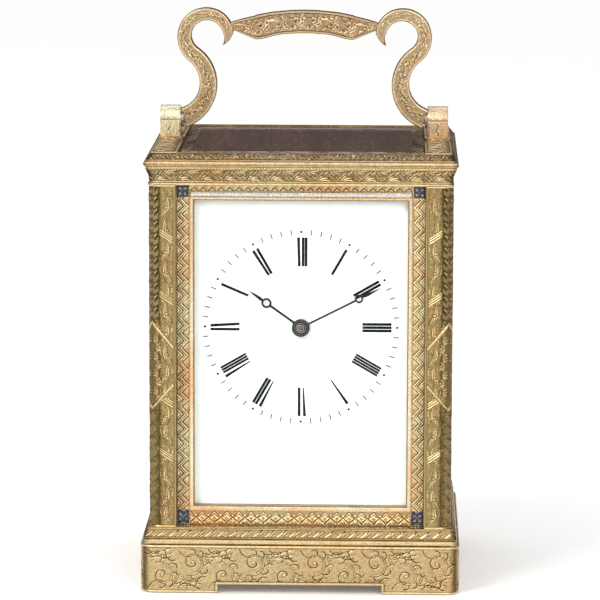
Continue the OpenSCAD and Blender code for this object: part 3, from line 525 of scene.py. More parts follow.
def acanthus(e, x, y, ang, length, bend, w, lobes=5):
    """A curling leaf: pairs of lobes laid over each other from the tip to the base."""
    sp = curl(x, y, ang, length, bend, 32)
    for i in range(lobes, -1, -1):
        t = i / (lobes + 0.6)
        q = sp[int(t * 31)]
        a = ang + bend * t ** 1.3
        g = 1.15 - 0.6 * t
        for sg in (-1, 1):
            c = curl(q[0], q[1], a + sg * 0.35, w * 1.25 * g, sg * 1.0, 12)
            e.stroke(c, tear(len(c), w * 0.21 * g, 0.6), edge=0.15, tone=0.8 + 0.1 * sg)
    e.stroke(sp, taper(32, w * 0.13, w * 0.04 + 0.03), edge=0.13, tone=0.95)


def c_scroll(e, cx, cy, r, a0, d, w, turns=1.3, lobes=5):
    """An engraved C scroll with lobed leaves springing from its back; d is its turning direction."""
    e.cut(spiral(cx, cy, 1.30 * r, 0.95 * r, a0 - d * 0.2, d * turns * 0.42, 34), 0.8 * w, 0.2, 1.2)
    e.cut(spiral(cx, cy, r, 0.20 * r, a0, d * turns, 60), w, 0.05, 1.3)
    e.cut(spiral(cx, cy, 0.78 * r, 0.50 * r, a0 + d * 0.4, d * turns * 0.40, 24), 0.8 * w, 0.2, 1.2)
    for j in range(lobes):
        a = a0 + d * (0.30 + 0.74 * j)
        rr = r * (1.0 - 0.115 * (0.30 + 0.74 * j) / turns)
        root_x, root_y = cx + rr * math.cos(a), cy + rr * math.sin(a)
        e.cut(curl(root_x, root_y, a + d * 0.45, (0.80 - 0.06 * j) * r, d * 2.3, 16), w, 0.08, 1.15)
    e.stroke([(cx, cy), (cx + 0.05, cy)], 0.10 * r, edge=0.14, tone=1.1)


def scroll_lines(e, x0, x1, y0, y1, pitch, flip=1, w=0.17, s=1.0):
    """A running band of C scrolls, up and down in turn, joined by S stems and filled with small curls."""
    h = y1 - y0
    n = max(1, int(round((x1 - x0) / pitch)))
    p = (x1 - x0) / n
    for i in range(n):
        u = flip * (1 if i % 2 == 0 else -1)
        m = (y0 + y1) / 2
        cx, cy = x0 + (i + 0.5) * p, m - u * 0.15 * h
        c_scroll(e, cx, cy, 0.33 * h * s, u * math.radians(115), -u, w)
        st = curl(cx - 0.60 * p, m + u * 0.36 * h, -u * 0.15, 0.90 * p, u * 0.9, 32)
        e.cut(st, w, 0.06, 1.3)
        e.cut(st[3:28] * (1, 1) - (0, u * 0.085 * h), 0.7 * w, 0.25, 1.2)
        for q in range(6, 30, 6):
            e.cut(curl(st[q, 0], st[q, 1], -u * 0.9, 0.20 * h, u * 1.8, 12), 0.85 * w, 0.12, 1.25)
            e.cut(curl(st[q, 0], st[q, 1], u * 1.0, 0.16 * h, -u * 1.6, 12), 0.85 * w, 0.12, 1.25)
        for q, ln in ((0.02, 0.34), (0.30, 0.42), (0.62, 0.34)):
            top_x, top_y = cx + (q - 0.5) * p, m + u * (0.46 - 0.1 * q) * h
            e.cut(curl(top_x, top_y, -u * (0.9 + q), ln * h, u * 1.9, 16), w, 0.08, 1.15)
        e.cut(curl(cx - 0.47 * p, m - u * 0.46 * h, u * 1.1, 0.42 * h, -u * 1.7, 16), w, 0.08, 1.1)
        e.stroke(curl(cx + 0.44 * p, m - u * 0.30 * h, u * 1.3, 0.22 * h, -u * 0.8, 8),
                tear(8, 0.22), edge=0.14, tone=1.1)


# ---------------------------------------------------------------- meshes
def grid_object(name, P, K, body, mat, closed_u=False, closed_v=False, mask=None,
        smooth=True):
    """A mesh over the grid of points P, in mm, with the tones K as its relief attribute."""
    nu, nv = P.shape[:2]
    idx = np.arange(nu * nv).reshape(nu, nv)
    iu = np.arange(nu if closed_u else nu - 1)
    iv = np.arange(nv if closed_v else nv - 1)
    A, B = np.meshgrid(iu, iv, indexing="ij")
    A2, B2 = (A + 1) % nu, (B + 1) % nv
    q = np.stack([idx[A, B], idx[A2, B], idx[A2, B2], idx[A, B2]], -1).reshape(-1, 4)
    if mask is not None:
        keep = (mask[A, B] & mask[A2, B] & mask[A2, B2] & mask[A, B2]).reshape(-1)
        q = q[keep]
    me = bpy.data.meshes.new(name)
    me.vertices.add(nu * nv)
    me.vertices.foreach_set("co", (P.reshape(-1, 3) * MM).astype(np.float32).ravel())
    me.loops.add(len(q) * 4)
    me.loops.foreach_set("vertex_index", q.astype(np.int32).ravel())
    me.polygons.add(len(q))
    me.polygons.foreach_set("loop_start", np.arange(0, len(q) * 4, 4, dtype=np.int32))
    me.polygons.foreach_set("use_smooth", np.full(len(q), smooth))
    a = me.attributes.new("relief", "FLOAT", "POINT")
    a.data.foreach_set("value", np.clip(K, 0, 1).astype(np.float32).ravel())
    me.update(calc_edges=True)
    me.validate()
    ob = add_object(name, me)
    me.materials.append(mat)
    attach(ob, body)
    return ob


BASE = 0.17
SUNK = -0.05


def front_panel(name, e, x, y, z, mat):
    """A flat engraved panel that looks to the front, with its low left corner at x, z."""
    X, Y = np.meshgrid(e.x, e.y, indexing="ij")
    Z = e.z + BASE
    Z[0, :] = Z[-1, :] = Z[:, 0] = Z[:, -1] = SUNK
    P = np.stack([x + X, y - Z, z + Y], -1)
    grid_object(name, P, e.k, "case", mat)


SIDES = [((1, 0), (0, -1)), ((0, 1), (1, 0)), ((-1, 0), (0, 1)), ((0, -1), (-1, 0))]
SIDE_NAMES = ["front", "right", "back", "left"]


def mitred(name, e, k, prof, hx, hy, mat, base=BASE):
    """An engraved or smooth moulding along side k of the case, mitred at both ends.
    prof is a list of (z, inset); e.h runs along it and e.w along the side."""
    prof = np.array(prof, float)
    seg = np.hypot(*np.diff(prof, axis=0).T)
    s = np.concatenate([[0], np.cumsum(seg)])
    t = e.y / e.h * s[-1]
    z, ins = np.interp(t, s, prof[:, 0]), np.interp(t, s, prof[:, 1])
    dz, di = np.gradient(z, t), np.gradient(ins, t)
    ln = np.hypot(dz, di) + 1e-9
    n0, n1 = dz / ln, di / ln
    A, O = SIDES[k]
    ha, ho = (hx, hy) if k % 2 == 0 else (hy, hx)
    u = e.x / e.w * 2 - 1
    # painted shade: the left and right sides darken towards both ends, and every side darkens close to its
    # mitres
    if k % 2:
        e.k -= 0.55 * np.exp(-(1 - np.abs(u)) * ha / 7.0)[:, None]
    e.k -= 0.55 * np.exp(-((1 - np.abs(u)) * ha / 0.9) ** 2)[:, None]
    H = e.z + base
    H[:, 0] = H[:, -1] = SUNK
    a = u[:, None] * (ha - ins[None, :] + H * n0[None, :])
    o = (ho - ins)[None, :] + H * n0[None, :]
    zz = z[None, :] + H * n1[None, :]
    P = np.stack([A[0] * a + O[0] * o, A[1] * a + O[1] * o, zz], -1)
    grid_object(name + "_" + SIDE_NAMES[k], P, e.k, "case", mat)


def arc_len(prof):
    """Length of a profile."""
    p = np.array(prof, float)
    return float(np.hypot(*np.diff(p, axis=0).T).sum())


def smooth_prof(pts, n=40):
    """Catmull-Rom through the profile points."""
    p = np.array(pts, float)
    p = np.vstack([2 * p[0] - p[1], p, 2 * p[-1] - p[-2]])
    out = []
    for i in range(1, len(p) - 2):
        for t in np.linspace(0, 1, n // (len(p) - 3) + 2)[:-1]:
            a, b, c, d = p[i - 1], p[i], p[i + 1], p[i + 2]
            square, cube = 2 * a - 5 * b + 4 * c - d, -a + 3 * b - 3 * c + d
            out.append(0.5 * ((2 * b) + (-a + c) * t + square * t ** 2 + cube * t ** 3))
    out.append(p[-2])
    return np.array(out)


def plain_field(w, h, step_w, step_h, tone=0.72):
    """An Engraving with nothing cut in it and its own steps along and across."""
    e = Engraving.__new__(Engraving)
    e.w, e.h = w, h
    e.nx, e.ny = max(2, int(w / step_w) + 1), max(2, int(h / step_h) + 1)
    e.x, e.y = np.linspace(0, w, e.nx), np.linspace(0, h, e.ny)
    e.z = np.zeros((e.nx, e.ny))
    e.k = np.full((e.nx, e.ny), tone)
    return e


def painted_light_bands(e):
    """Painted highlights and shade: bright and dark lengthwise bands on a smooth moulding, with a small
    random variation along it.
    """
    r = np.random.default_rng(5)
    for q, t in ((0.24, 0.9), (0.40, 0.25), (0.66, 0.8), (0.86, 0.2)):
        e.k[:, np.abs(e.y / e.h - q) < 0.07] = t
    e.k += (r.random((e.nx, 1)) - 0.5) * 0.16
    return e


# ---------------------------------------------------------------- plinth and mouldings
def side_step(k):
    """Grid step of the engraving on side k: finest on the front."""
    return 0.16 if k == 0 else 0.24


def plinth(mat):
    x1, y1, z1 = hi("base_plinth")
    r, foot, cut = 4.0, 23.0, 2.5
    for k in range(4):
        ha, ho = (x1, y1) if k % 2 == 0 else (y1, x1)
        L = 2 * (ha - r) + math.pi / 2 * r
        e = Engraving(L, z1 - 0.1, side_step(k), ground=0.46, stipple=0.05)
        half = ha - foot
        mid = L / 2
        e.k += 0.16
        scroll_lines(e, 1.0, L - 1.0, 0.8, z1 - 0.8, 9.4, 1 if k % 2 == 0 else -1)
        e.paint_slope_light(0.24)
        # painted shade: darker towards both ends, on the rounded corners where the sides meet
        e.k -= 0.45 * np.exp(-(np.minimum(e.x, L - e.x) / 1.1) ** 2)[:, None]
        X, Y = np.meshgrid(e.x, e.y, indexing="ij")
        # the line round the foot cut: a bead painted bright along its middle and darker at its sides, as
        # highlight and shade, with a dark groove of painted shade outside it
        dx, dy = np.abs(X - mid) - half, Y - cut
        d = np.where((dx < 0) & (dy < 0), -1, np.hypot(np.maximum(dx, 0), np.maximum(dy, 0)))
        m = (d >= 0) & (d < 0.75)
        e.z[m] = 0.10
        e.k[m] = 0.85 - 0.45 * (np.abs(d[m] - 0.4) > 0.28)
        g = (d >= 0.75) & (d < 1.0)
        e.z[g] = -0.12
        e.k[g] = 0.05
        e.border(0.5, 0.12, 0.2, "bt")
        e.z[d < 0] = 0
        s = X - mid
        st = ha - r
        ph = np.clip((np.abs(s) - st) / r, 0, math.pi / 4)
        n_a, n_o = np.sin(ph) * np.sign(s), np.cos(ph)
        a = np.where(np.abs(s) <= st, s, np.sign(s) * (st + r * np.sin(ph)))
        o = np.where(np.abs(s) <= st, ho, ho - r + r * np.cos(ph))
        H = e.z + BASE
        H[:, 0] = H[:, -1] = -0.03
        A, O = SIDES[k]
        a, o = a + H * n_a, o + H * n_o
        P = np.stack([A[0] * a + O[0] * o, A[1] * a + O[1] * o, Y + 0.05], -1)
        mask = ~(d < 0)
        grid_object("plinth_frieze_" + SIDE_NAMES[k], P, e.k, "case", mat, mask=mask)


def leaf_band(e, pitch):
    """Slanted leaves painted bright as highlights, each with a dark cut under it as painted shadow, and a
    fine cut between them.
    """
    n = max(1, int(round(e.w / pitch)))
    p = e.w / n
    h = e.h
    for i in range(n):
        x = (i + 0.5) * p
        rise = np.linspace(0, 1, 16)
        c = np.stack([np.linspace(x - 0.40 * p, x + 0.34 * p, 16), 0.5 + (h - 1.3) * rise ** 1.35], 1)
        e.line(c + (0.16, -0.20), 0.13, 0.14, 0.15)
        e.stroke(c, tear(16, 0.26, 0.6), edge=0.10, tone=1.0, top=0.2)
        rise = np.linspace(0, 1, 10)
        c = np.stack([np.linspace(x + 0.05 * p, x + 0.42 * p, 10), 0.45 + 0.45 * (h - 1.2) * rise], 1)
        e.line(c, 0.12, 0.12, 0.15)
    m = (np.abs(e.y - (h - 0.75)) < 0.10)
    e.k[:, m] = 0.25
    e.border(0.32, 0.10, 0.14, "bt")
    e.paint_slope_light(0.2)


def frieze(e, period):
    """A running stem with comma leaves fanning from it on both sides."""
    h = e.h - 0.75
    n = max(2, int(round(e.w / period)))
    p = e.w / n
    # angle, length, bend, half width and offset of the leaves at each turn of the stem
    leaves = (
        (1.15, 0.62, -1.3, 0.24, -0.02),
        (0.75, 0.80, -1.5, 0.27, 0.05),
        (0.35, 0.85, -1.6, 0.24, 0.12),
        (2.0, 0.50, 1.2, 0.20, -0.10),
    )
    for i in range(2 * n):
        x, up = (i + 0.5) * p / 2, 1 if i % 2 == 0 else -1
        mid = 0.3 + h / 2
        t = np.linspace(0, 1, 26)
        stem = np.stack([x - p * 0.30 + p * 0.60 * t, mid - up * 0.34 * h * np.cos(math.pi * t)], 1)
        e.stroke(stem, taper(26, 0.10, 0.20), edge=0.14, tone=1.0)
        for a, ln, bd, w, ox in leaves:
            c = curl(x + ox * p, mid - up * 0.42 * h, up * a, ln * h * 1.15, up * bd, 16)
            e.stroke(c, tear(16, w), edge=0.13, tone=1.05)
    e.soften(0.85, 1.0)
    e.paint_slope_light(0.24)
    e.k -= 0.10


def mouldings(mat_e, mat_p, mat_r):
    """Base moulding and cornice on all four sides."""
    bx, by, h0 = hi("base_plinth")
    deck_top, z0, top = hi("base_deck")[2], lo("cornice")[2], hi("cornice")[2]

    def strip(name, k, prof, e, mat=mat_e, base=BASE):
        mitred(name, e, k, prof, bx, by, mat, base)

    def smooth_strip(name, k, prof, e, base=0.04):
        mitred(name, e, k, prof, bx, by, mat_p, base)

    for k in range(4):
        width = 2 * (bx if k % 2 == 0 else by)
        # smooth torus and hollow under the leaf band
        prof = [(0, 0.95), (0.3, 0.62), (0.8, 0.46), (1.25, 0.58), (1.55, 0.95), (1.8, 1.35), (2.0, 1.45)]
        prof = smooth_prof([(h0 + z, inset) for z, inset in prof])
        smooth_strip("torus", k, prof, plain_field(width, arc_len(prof), 2.0, 0.09))
        prof = [(h0 + 2.0, 1.15), (h0 + 2.05, 1.05), (deck_top - 0.25, 1.55), (deck_top + 0.02, 1.75)]
        e = Engraving(width, arc_len(prof), side_step(k), ground=0.54, stipple=0.08)
        leaf_band(e, 3.7)
        strip("leaf_band", k, prof, e)
        # fillet, frieze, torus and rim of the cornice, from below
        prof = [(z0 + 0.05, 2.45), (z0 + 0.1, 2.38), (z0 + 0.55, 2.38), (z0 + 0.68, 2.65)]
        smooth_strip("cornice_fillet", k, prof, plain_field(width, arc_len(prof), 2.0, 0.08, 0.8))
        prof = [(0.7, 3.0), (2.2, 2.82), (3.6, 2.44), (4.7, 1.94), (5.2, 1.65)]
        prof = smooth_prof([(z0 + z, inset) for z, inset in prof])
        e = Engraving(width, arc_len(prof), 0.15 if k == 0 else 0.22, ground=0.40)
        frieze(e, 7.2)
        e.border(0.32, 0.05, 0.12, "b")
        rope(e)
        strip("cornice_frieze", k, prof, e, base=0.12)
        prof = [(5.35, 1.75), (5.5, 1.72), (5.8, 1.38), (6.25, 1.08),
                (6.75, 1.12), (7.1, 1.4), (7.25, 1.75)]
        prof = smooth_prof([(z0 + z, inset) for z, inset in prof])
        e = painted_light_bands(plain_field(width, arc_len(prof), 0.5, 0.09, 0.56))
        smooth_strip("cornice_torus", k, prof, e, base=0.03)
        prof = [(z0 + 7.3, 1.95), (z0 + 7.36, 1.9), (top - 0.1, 3.42), (top + 0.02, 3.65)]
        e = Engraving(width, arc_len(prof), side_step(k), ground=0.42)
        waves(e)
        strip("cornice_rim", k, prof, e, mat_r, 0.10)


def rope(e):
    """A rope line along the top edge; each twist is painted bright on its crown and dark between, as
    highlight and shade.
    """
    X, Y = np.meshgrid(e.x, e.y, indexing="ij")
    m = Y > e.h - 0.55
    w = 0.5 + 0.5 * np.sin((X + (Y - e.h) * 1.1) * 2 * np.pi / 0.95)
    e.z[m] = (0.10 * w)[m]
    e.k[m] = (0.25 + 0.7 * w)[m]


def waves(e):
    """Two waving stems with scattered bright cuts, painted glints, between them."""
    t = np.linspace(0, e.w, int(e.w / 0.12))
    for swing, pitch, phase, height in ((0.34, 2.3, 0.0, 0.60), (0.26, 1.45, 1.0, 0.38)):
        c = np.stack([t, e.h * height + swing * np.sin(2 * np.pi * t / pitch + phase)], 1)
        for q in range(0, len(c) - 24, 24):
            e.stroke(c[q:q + 25], 0.11, edge=0.15, tone=1.2)
    e.painted_glints(int(e.w * 1.2), 0.8, 0.16, 0.5, 1.15)
    e.k -= 0.16
    e.border(0.3, 0.08, 0.14, "bt")
    e.paint_slope_light(0.2)


# ---------------------------------------------------------------- pillars
def pillar(name, sx, sy, mat):
    """Engraved skin over the two outer faces of a pillar and the quarter round between them."""
    a, b = lo(name), hi(name)
    z0, z1 = a[2], b[2]
    px, py = (b[0] if sx > 0 else -a[0]), (b[1] if sy > 0 else -a[1])
    w, r = b[0] - a[0], 3.3
    flat = w - r
    L = 2 * flat + math.pi / 2 * r
    front = sy < 0
    e = Engraving(L, z1 - z0, 0.17 if front else 0.25, ground=0.44, stipple=0.14)
    H = e.h
    X, Y = np.meshgrid(e.x, e.y, indexing="ij")
    rng = np.random.default_rng(3)
    # flowing leaves up each flat band
    for q0, q1 in ((0.9, flat + 0.2), (L - flat - 0.2, L - 0.9)):
        mid, wd = (q0 + q1) / 2, q1 - q0
        y, sg = 0.8, 1
        while y < H - 6.0:
            ln = rng.uniform(7.5, 9.5)
            x = mid - sg * 0.36 * wd
            for o, q in ((0.0, 1.0), (0.9, 0.80), (1.8, 0.58)):
                lean = math.pi / 2 - sg * (0.50 - 0.12 * o)
                c = curl(x + sg * o, y + 0.9 * o, lean, ln * q, sg * 1.05, 30)
                e.stroke(c, tear(30, 0.26, 0.7), edge=0.17, tone=1.1)
            for o, q in ((0.5, 0.42), (1.5, 0.36)):
                lean = math.pi / 2 - sg * 0.5
                c = curl(x + sg * (2.6 + 0.4 * o), y + 1.6 + 2.0 * o, lean, ln * q, sg * 1.6, 16)
                e.stroke(c, tear(16, 0.24, 0.7), edge=0.16, tone=1.1)
            e.line(spiral(x + sg * 1.2, y + ln * 0.30, 0.8, 0.3, 0.0, sg * 0.9, 20), 0.13, 0.1, 0.15)
            y += ln * 0.74
            sg = -sg
        for yy in (H * 0.20, H * 0.36, H * 0.66, H * 0.84):
            for o in (-0.75, 0.0, 0.75):
                c = np.stack([np.linspace(q0, q1, 16), yy + o + np.linspace(0, 2.6, 16)], 1)
                e.stroke(c, 0.18, edge=0.16, tone=1.1)
    e.soften(0.85, 1.0, 0.62)
    # bright fillet along the inner edges
    for c in (0.42, L - 0.42):
        m = np.abs(X - c) < 0.36
        e.z[m] = 0.10
        e.k[m] = 0.72
        e.k[m & (np.abs(X - c) < 0.10)] = 0.30
        g = (np.abs(X - c) >= 0.36) & (np.abs(X - c) < 0.54)
        e.z[g] = -0.1
        e.k[g] = 0.22
    # the rounded outer band: a row of scales, each with a hooked cut
    c0, c1 = flat + 0.35, L - flat - 0.35
    m = (X > c0) & (X < c1)
    e.z[m] = 0.04
    e.k[m] = 0.16
    e.k[m & (Y < 0.34 * H)] = 0.36
    n = int(round(H / 3.65))
    half = (c1 - c0) / 2
    for i in range(n):
        y = (i + 0.5) * H / n
        for sg, cc in ((1, c0 + half * 0.5), (-1, c1 - half * 0.5)):
            t = np.linspace(-1, 1, 19)
            ww = half * 0.44
            plain = y < 0.34 * H
            groove = 0.16 if plain else 0.22
            for o in ((0.0, 0.5) if plain else (0.0, 0.4, 0.8)):
                arc = np.stack([cc + t * ww * (1 - 0.22 * o), y + o - 0.95 * (1 - t ** 2)], 1)
                e.line(arc, groove, 0.16, 0.0)
            if plain:
                e.line(np.stack([cc + t * ww * 0.5, y + 1.3 - 0.3 * t * sg], 1), 0.11, 0.10, 0.12)
                continue
            e.line(np.stack([cc + t[9:] * ww * 0.9 * sg, y + 1.15 + 0.55 * t[9:]], 1), 0.26, 0.15, 0.03)
            pts = np.stack([cc + t * 0.62 * ww, y + 1.5 - 0.6 * t * sg], 1)
            e.stroke(pts, tear(len(pts), 0.24), edge=0.08, tone=1.0)
            e.k[(X > cc - ww) & (X < cc + ww) & (np.abs(Y - y + 0.15) < 0.35)] += 0.22
    # painted shade: dark grooves at both edges of the rounded band, with darkening that fades out from them
    for c in (c0, c1):
        g = np.abs(X - c) < 0.13
        e.z[g] = -0.12
        e.k -= 0.32 * np.exp(-((X - c) / 0.7) ** 2)
        e.k[g] = 0.10
    # a knot of ribbons round the middle of the pillar
    zm = H * 0.475
    m = (X > c0) & (X < c1) & (np.abs(Y - zm) < 13.5)
    e.z[m] = 0.0
    e.k[m] = 0.26
    for j in range(9):
        yy = zm - 11.5 + 2.6 * j
        for cc, sg in ((c0 + half * 0.5, 1), (c1 - half * 0.5, -1)):
            lean, bend = (0.5, 1.2) if j % 2 else (-0.4, -1.2)
            acanthus(e, cc - sg * 0.5, yy, math.pi / 2 - sg * lean, 3.2, sg * bend, 1.2, 3)
    for sg in (1, -1):
        for z_edge, z_mid in ((5.5, 13.0), (-6.0, -13.0)):
            x_edge, x_mid = (0.9, c0 + half) if sg > 0 else (L - 0.9, c1 - half)
            t = np.linspace(0, 1, 60)
            pts = np.stack([x_edge + (x_mid - x_edge) * t, zm + z_edge + (z_mid - z_edge) * t], 1)
            e.stroke(pts, 0.34, edge=0.16, tone=1.0)
    e.paint_slope_light(0.26)
    e.border(0.40, 0.1, 0.16, "bt")
    # surface: face, quarter round, side
    s = X
    ph = np.clip((s - flat) / r, 0, math.pi / 2)
    ax = np.where(s < flat, px - w + s, px - r + r * np.sin(ph))
    ay = np.where(s < flat, py, py - r + r * np.cos(ph))
    side = s > L - flat
    ax = np.where(side, px, ax)
    ay = np.where(side, py - r - (s - (L - flat)), ay)
    nxn = np.where(s < flat, 0.0, np.where(side, 1.0, np.sin(ph)))
    nyn = np.where(s < flat, 1.0, np.where(side, 0.0, np.cos(ph)))
    rise = e.z + 0.13
    rise[0, :] = rise[-1, :] = SUNK
    P = np.stack([sx * (ax + rise * nxn), sy * (ay + rise * nyn), z0 + Y], -1)
    K = e.k
    if sx * sy > 0:
        P, K = P[::-1], K[::-1]
    grid_object(name + "_skin", P, K, "case", mat)


# ---------------------------------------------------------------- mask
def chevrons(e, along_x, pitch, rows, point=1):
    """Two parallel zigzag cuts, each a dark groove of painted shade with a bright lip of painted highlight,
    over bright facets; the two slopes of each zigzag are painted a little lighter and darker in turn, as
    light and shade.
    """
    X, Y = np.meshgrid(e.x, e.y, indexing="ij")
    u, v = (X, Y) if along_x else (Y, X)
    W = e.h if along_x else e.w
    if point < 0:
        v = W - v
    n = max(1, round((e.w if along_x else e.h) / pitch))
    p = (e.w if along_x else e.h) / n
    tri = 1 - np.abs(((u / p) % 1.0) - 0.5) * 2
    slope = 2 * (W * 0.56) / p
    ln = math.hypot(1, slope)
    e.z[:] = 0.0
    e.k[:] = 0.62
    e.k += np.where(((u / p) % 1.0) < 0.5, 0.06, -0.05)
    for i in range(rows):
        off = W * (i * 0.46 / max(1, rows - 1)) - 0.02 * W
        d = (v - (off + W * 0.56 * tri)) / ln
        inner = (d < 0) & (d > -0.95) if i == 0 else (d < 0) & (d > -0.5)
        e.k[inner] = 0.84 if i == 0 else 0.70
        lip = (d < -0.12) & (d > -0.40)
        e.k[lip] = 1.0
        e.z[lip] = 0.12
        g = np.abs(d) < 0.15
        e.k[g] = 0.12
        e.z[g] = -0.14
        m2 = (d < -0.46) & (d > -0.66)
        e.k[m2] = 0.30


def diamonds(e, pitch):
    """Two zigzag cuts that mirror each other, with small dark nicks between; the cuts are dark grooves of
    painted shade, and raised lips beside them and beside two inner zigzags are painted bright as
    highlights.
    """
    n = max(1, int(round(e.w / pitch)))
    p = e.w / n
    e.k[:] = 0.54
    u = ((e.x / p) % 1.0)[:, None] * np.ones((1, e.ny))
    Y = e.y[None, :] * np.ones((e.nx, 1)) / e.h
    tri = 1 - np.abs(u - 0.5) * 2
    ln = math.hypot(1, 0.84 * e.h / p)
    for c in (0.08 + 0.42 * tri, 0.92 - 0.42 * tri, 0.30 + 0.42 * tri, 0.70 - 0.42 * tri):
        d = (Y - c) * e.h / ln
        lip = (d < -0.05) & (d > -0.30)
        e.k[lip] = 0.98
        e.z[lip] = 0.10
    for c in (0.08 + 0.42 * tri, 0.92 - 0.42 * tri):
        g = np.abs((Y - c) * e.h / ln) < 0.12
        e.k[g] = 0.16
        e.z[g] = -0.12
    for c in (0.26 + 0.24 * tri, 0.74 - 0.24 * tri):
        g = np.abs((Y - c) * e.h / ln) < 0.10
        e.k[g] = 0.34


def reflection_square(e):
    """A dark square with a small cross of petals, painted as the reflection in a bevelled corner of the
    front glass.
    """
    X, Y = np.meshgrid(e.x, e.y, indexing="ij")
    m = (X > 0) & (X < e.w) & (Y > 0) & (Y < e.h)
    cx, cy = X - e.w / 2, Y - e.h / 2
    r, a = np.hypot(cx, cy), np.arctan2(cy, cx)
    e.k[m] += -0.12 + 0.34 * (np.cos(4 * a) * np.cos(r * 3.0) > 0.25)[m]
    e.z[m] = -0.06


def mask(mat, mat_p, mat_bar_highlight, mat_corner_reflection):
    """Engraved strips round the dial, corner squares painted as reflections in the glass bevel, the bar
    over it as the bevel's painted highlight, and the fillet round it.
    """
    a, b = lo("dial_mask"), hi("dial_mask")
    d0 = lo("dial")
    ox = -lo("front_glass")[0] - 1.5
    ap_x = -d0[0] - 1.2
    z0, z1 = d0[2] + 1.2, hi("dial")[2] - 1.2
    y = a[1]
    f = 1.35
    bz0, bz1 = a[2], b[2]
    for nm, x0, x1 in (("l", -ox, -ap_x - f), ("r", ap_x + f, ox)):
        e = Engraving(x1 - x0, bz1 - bz0, 0.11, stipple=0.0)
        chevrons(e, False, 4.4, 2, 1 if nm == "l" else -1)
        e.border(0.14, 0.06, 0.16, "lr")
        for q0, q1 in ((0.3, 4.6), (e.h - 3.9, e.h - 0.4)):
            c = Engraving(e.w - 0.5, q1 - q0, 0.12, stipple=0.25)
            reflection_square(c)
            tag = "mask_corner_%s_%s" % (nm, "low" if q0 < 1 else "high")
            front_panel(tag, c, x0 + 0.25, y - 0.20, bz0 + q0, mat_corner_reflection)
        front_panel("mask_strip_" + nm, e, x0, y, bz0, mat)
    for nm, q0, q1 in (("b", bz0, z0 - f), ("t", z1 + 2.6, bz1)):
        e = Engraving(2 * (ap_x + f), q1 - q0, 0.11, stipple=0.0)
        if nm == "b":
            diamonds(e, 3.7)
        else:
            chevrons(e, True, 2.6, 1)
        e.border(0.14, 0.06, 0.16, "bt")
        front_panel("mask_strip_" + nm, e, -ap_x - f, y, q0, mat)
    # bevelled bar above the dial in pale grey, standing in for the highlight on the front glass's bevel:
    # painted highlight
    bar = [(0.0, 0.0), (0.08, 0.30), (0.5, 0.42), (1.0, 0.36), (1.35, 0.15), (1.45, -0.05)]
    xs = np.linspace(-ap_x - 0.9, ap_x + 0.9, 5)
    P = np.array([[(x, y - hh, z1 + 2.5 - dd) for dd, hh in bar] for x in xs])
    grid_object("mask_top_bar", P[::-1], np.full(P.shape[:2], 0.9), "case", mat_bar_highlight,
            smooth=False)
    # polished fillet round the opening, stepping down to the dial
    prof = np.array([(0.0, -0.05), (0.05, 0.16), (0.3, 0.26), (0.75, 0.24), (1.05, 0.10), (1.2, -0.3),
            (1.3, -0.7), (1.34, -2.6)])
    pr = smooth_prof(prof, 36)
    ring = []
    for qx, qz in ((-1, -1), (1, -1), (1, 1), (-1, 1)):
        col = []
        for d, hgt in pr:
            g = f if qz < 0 else 1.05
            xx = qx * (ap_x + f - d)
            zz = (z0 - f + d) if qz < 0 else (z1 + g - d * g / f)
            col.append((xx, y - hgt, zz))
        ring.append(col)
    P = np.array(ring)[::-1]
    K = np.full(P.shape[:2], 0.66)
    # painted light: dark along the outer edge, a bright band along the slope, and lighter on the lower
    # side, where the fillet faces up
    K[:, :4] = 0.2
    K[:, len(pr) // 3: len(pr) // 2] = 0.8
    K[2:, 4:] += 0.25
    grid_object("mask_fillet", P, K, "case", mat_p, closed_u=True, smooth=False)


# ---------------------------------------------------------------- handle
def loft(cl, hw, t, eng):
    """Points and tones of a flat bar, engraved on its front and back: cl is its centreline in the XZ plane,
    hw its half width and t its thickness."""
    n = len(cl)
    tg = np.gradient(cl, axis=0)
    tg /= np.linalg.norm(tg, axis=1)[:, None] + 1e-9
    nr = np.stack([-tg[:, 1], tg[:, 0]], 1)
    s = np.concatenate([[0], np.cumsum(np.linalg.norm(np.diff(cl, axis=0), axis=1))])
    ring = []
    tone = []

    def add(reach, y, k):
        ring.append(np.stack([cl[:, 0] + nr[:, 0] * reach, y, cl[:, 1] + nr[:, 1] * reach], 1))
        tone.append(k)

    across = np.linspace(-1, 1, 27)
    edge = [(-0.06, 0.22), (0.0, 0.45), (0.04, 0.9), (0.04, t - 0.9), (0.0, t - 0.45), (-0.06, t - 0.22)]
    for face in (-1, 1):
        # the engraved face, then the plain edge after it, painted dark as shade and a little lighter where
        # it meets the faces
        for q in -face * across:
            fx = np.clip(np.interp(s, (0, s[-1]), (0, eng.nx - 1)), 0, eng.nx - 1).astype(int)
            fy = int(round((q * 0.5 + 0.5) * (eng.ny - 1)))
            z = eng.z[fx, fy] if abs(q) < 0.985 else np.full(n, -0.02)
            add((hw - 0.25) * q, face * (t / 2 - 0.18 + z), eng.k[fx, fy])
        for out, depth in edge:
            add(-face * (hw + out), np.full(n, face * (t / 2 - depth)),
                    np.full(n, 0.42 if out < -0.05 else 0.10))
    P = np.stack(ring, 1)
    K = np.stack(tone, 1)
    # close the ends
    first = P[:1].mean(1, keepdims=True).repeat(P.shape[1], 1)
    last = P[-1:].mean(1, keepdims=True).repeat(P.shape[1], 1)
    return np.concatenate([first, P, last]), np.concatenate([K[:1], K, K[-1:]])


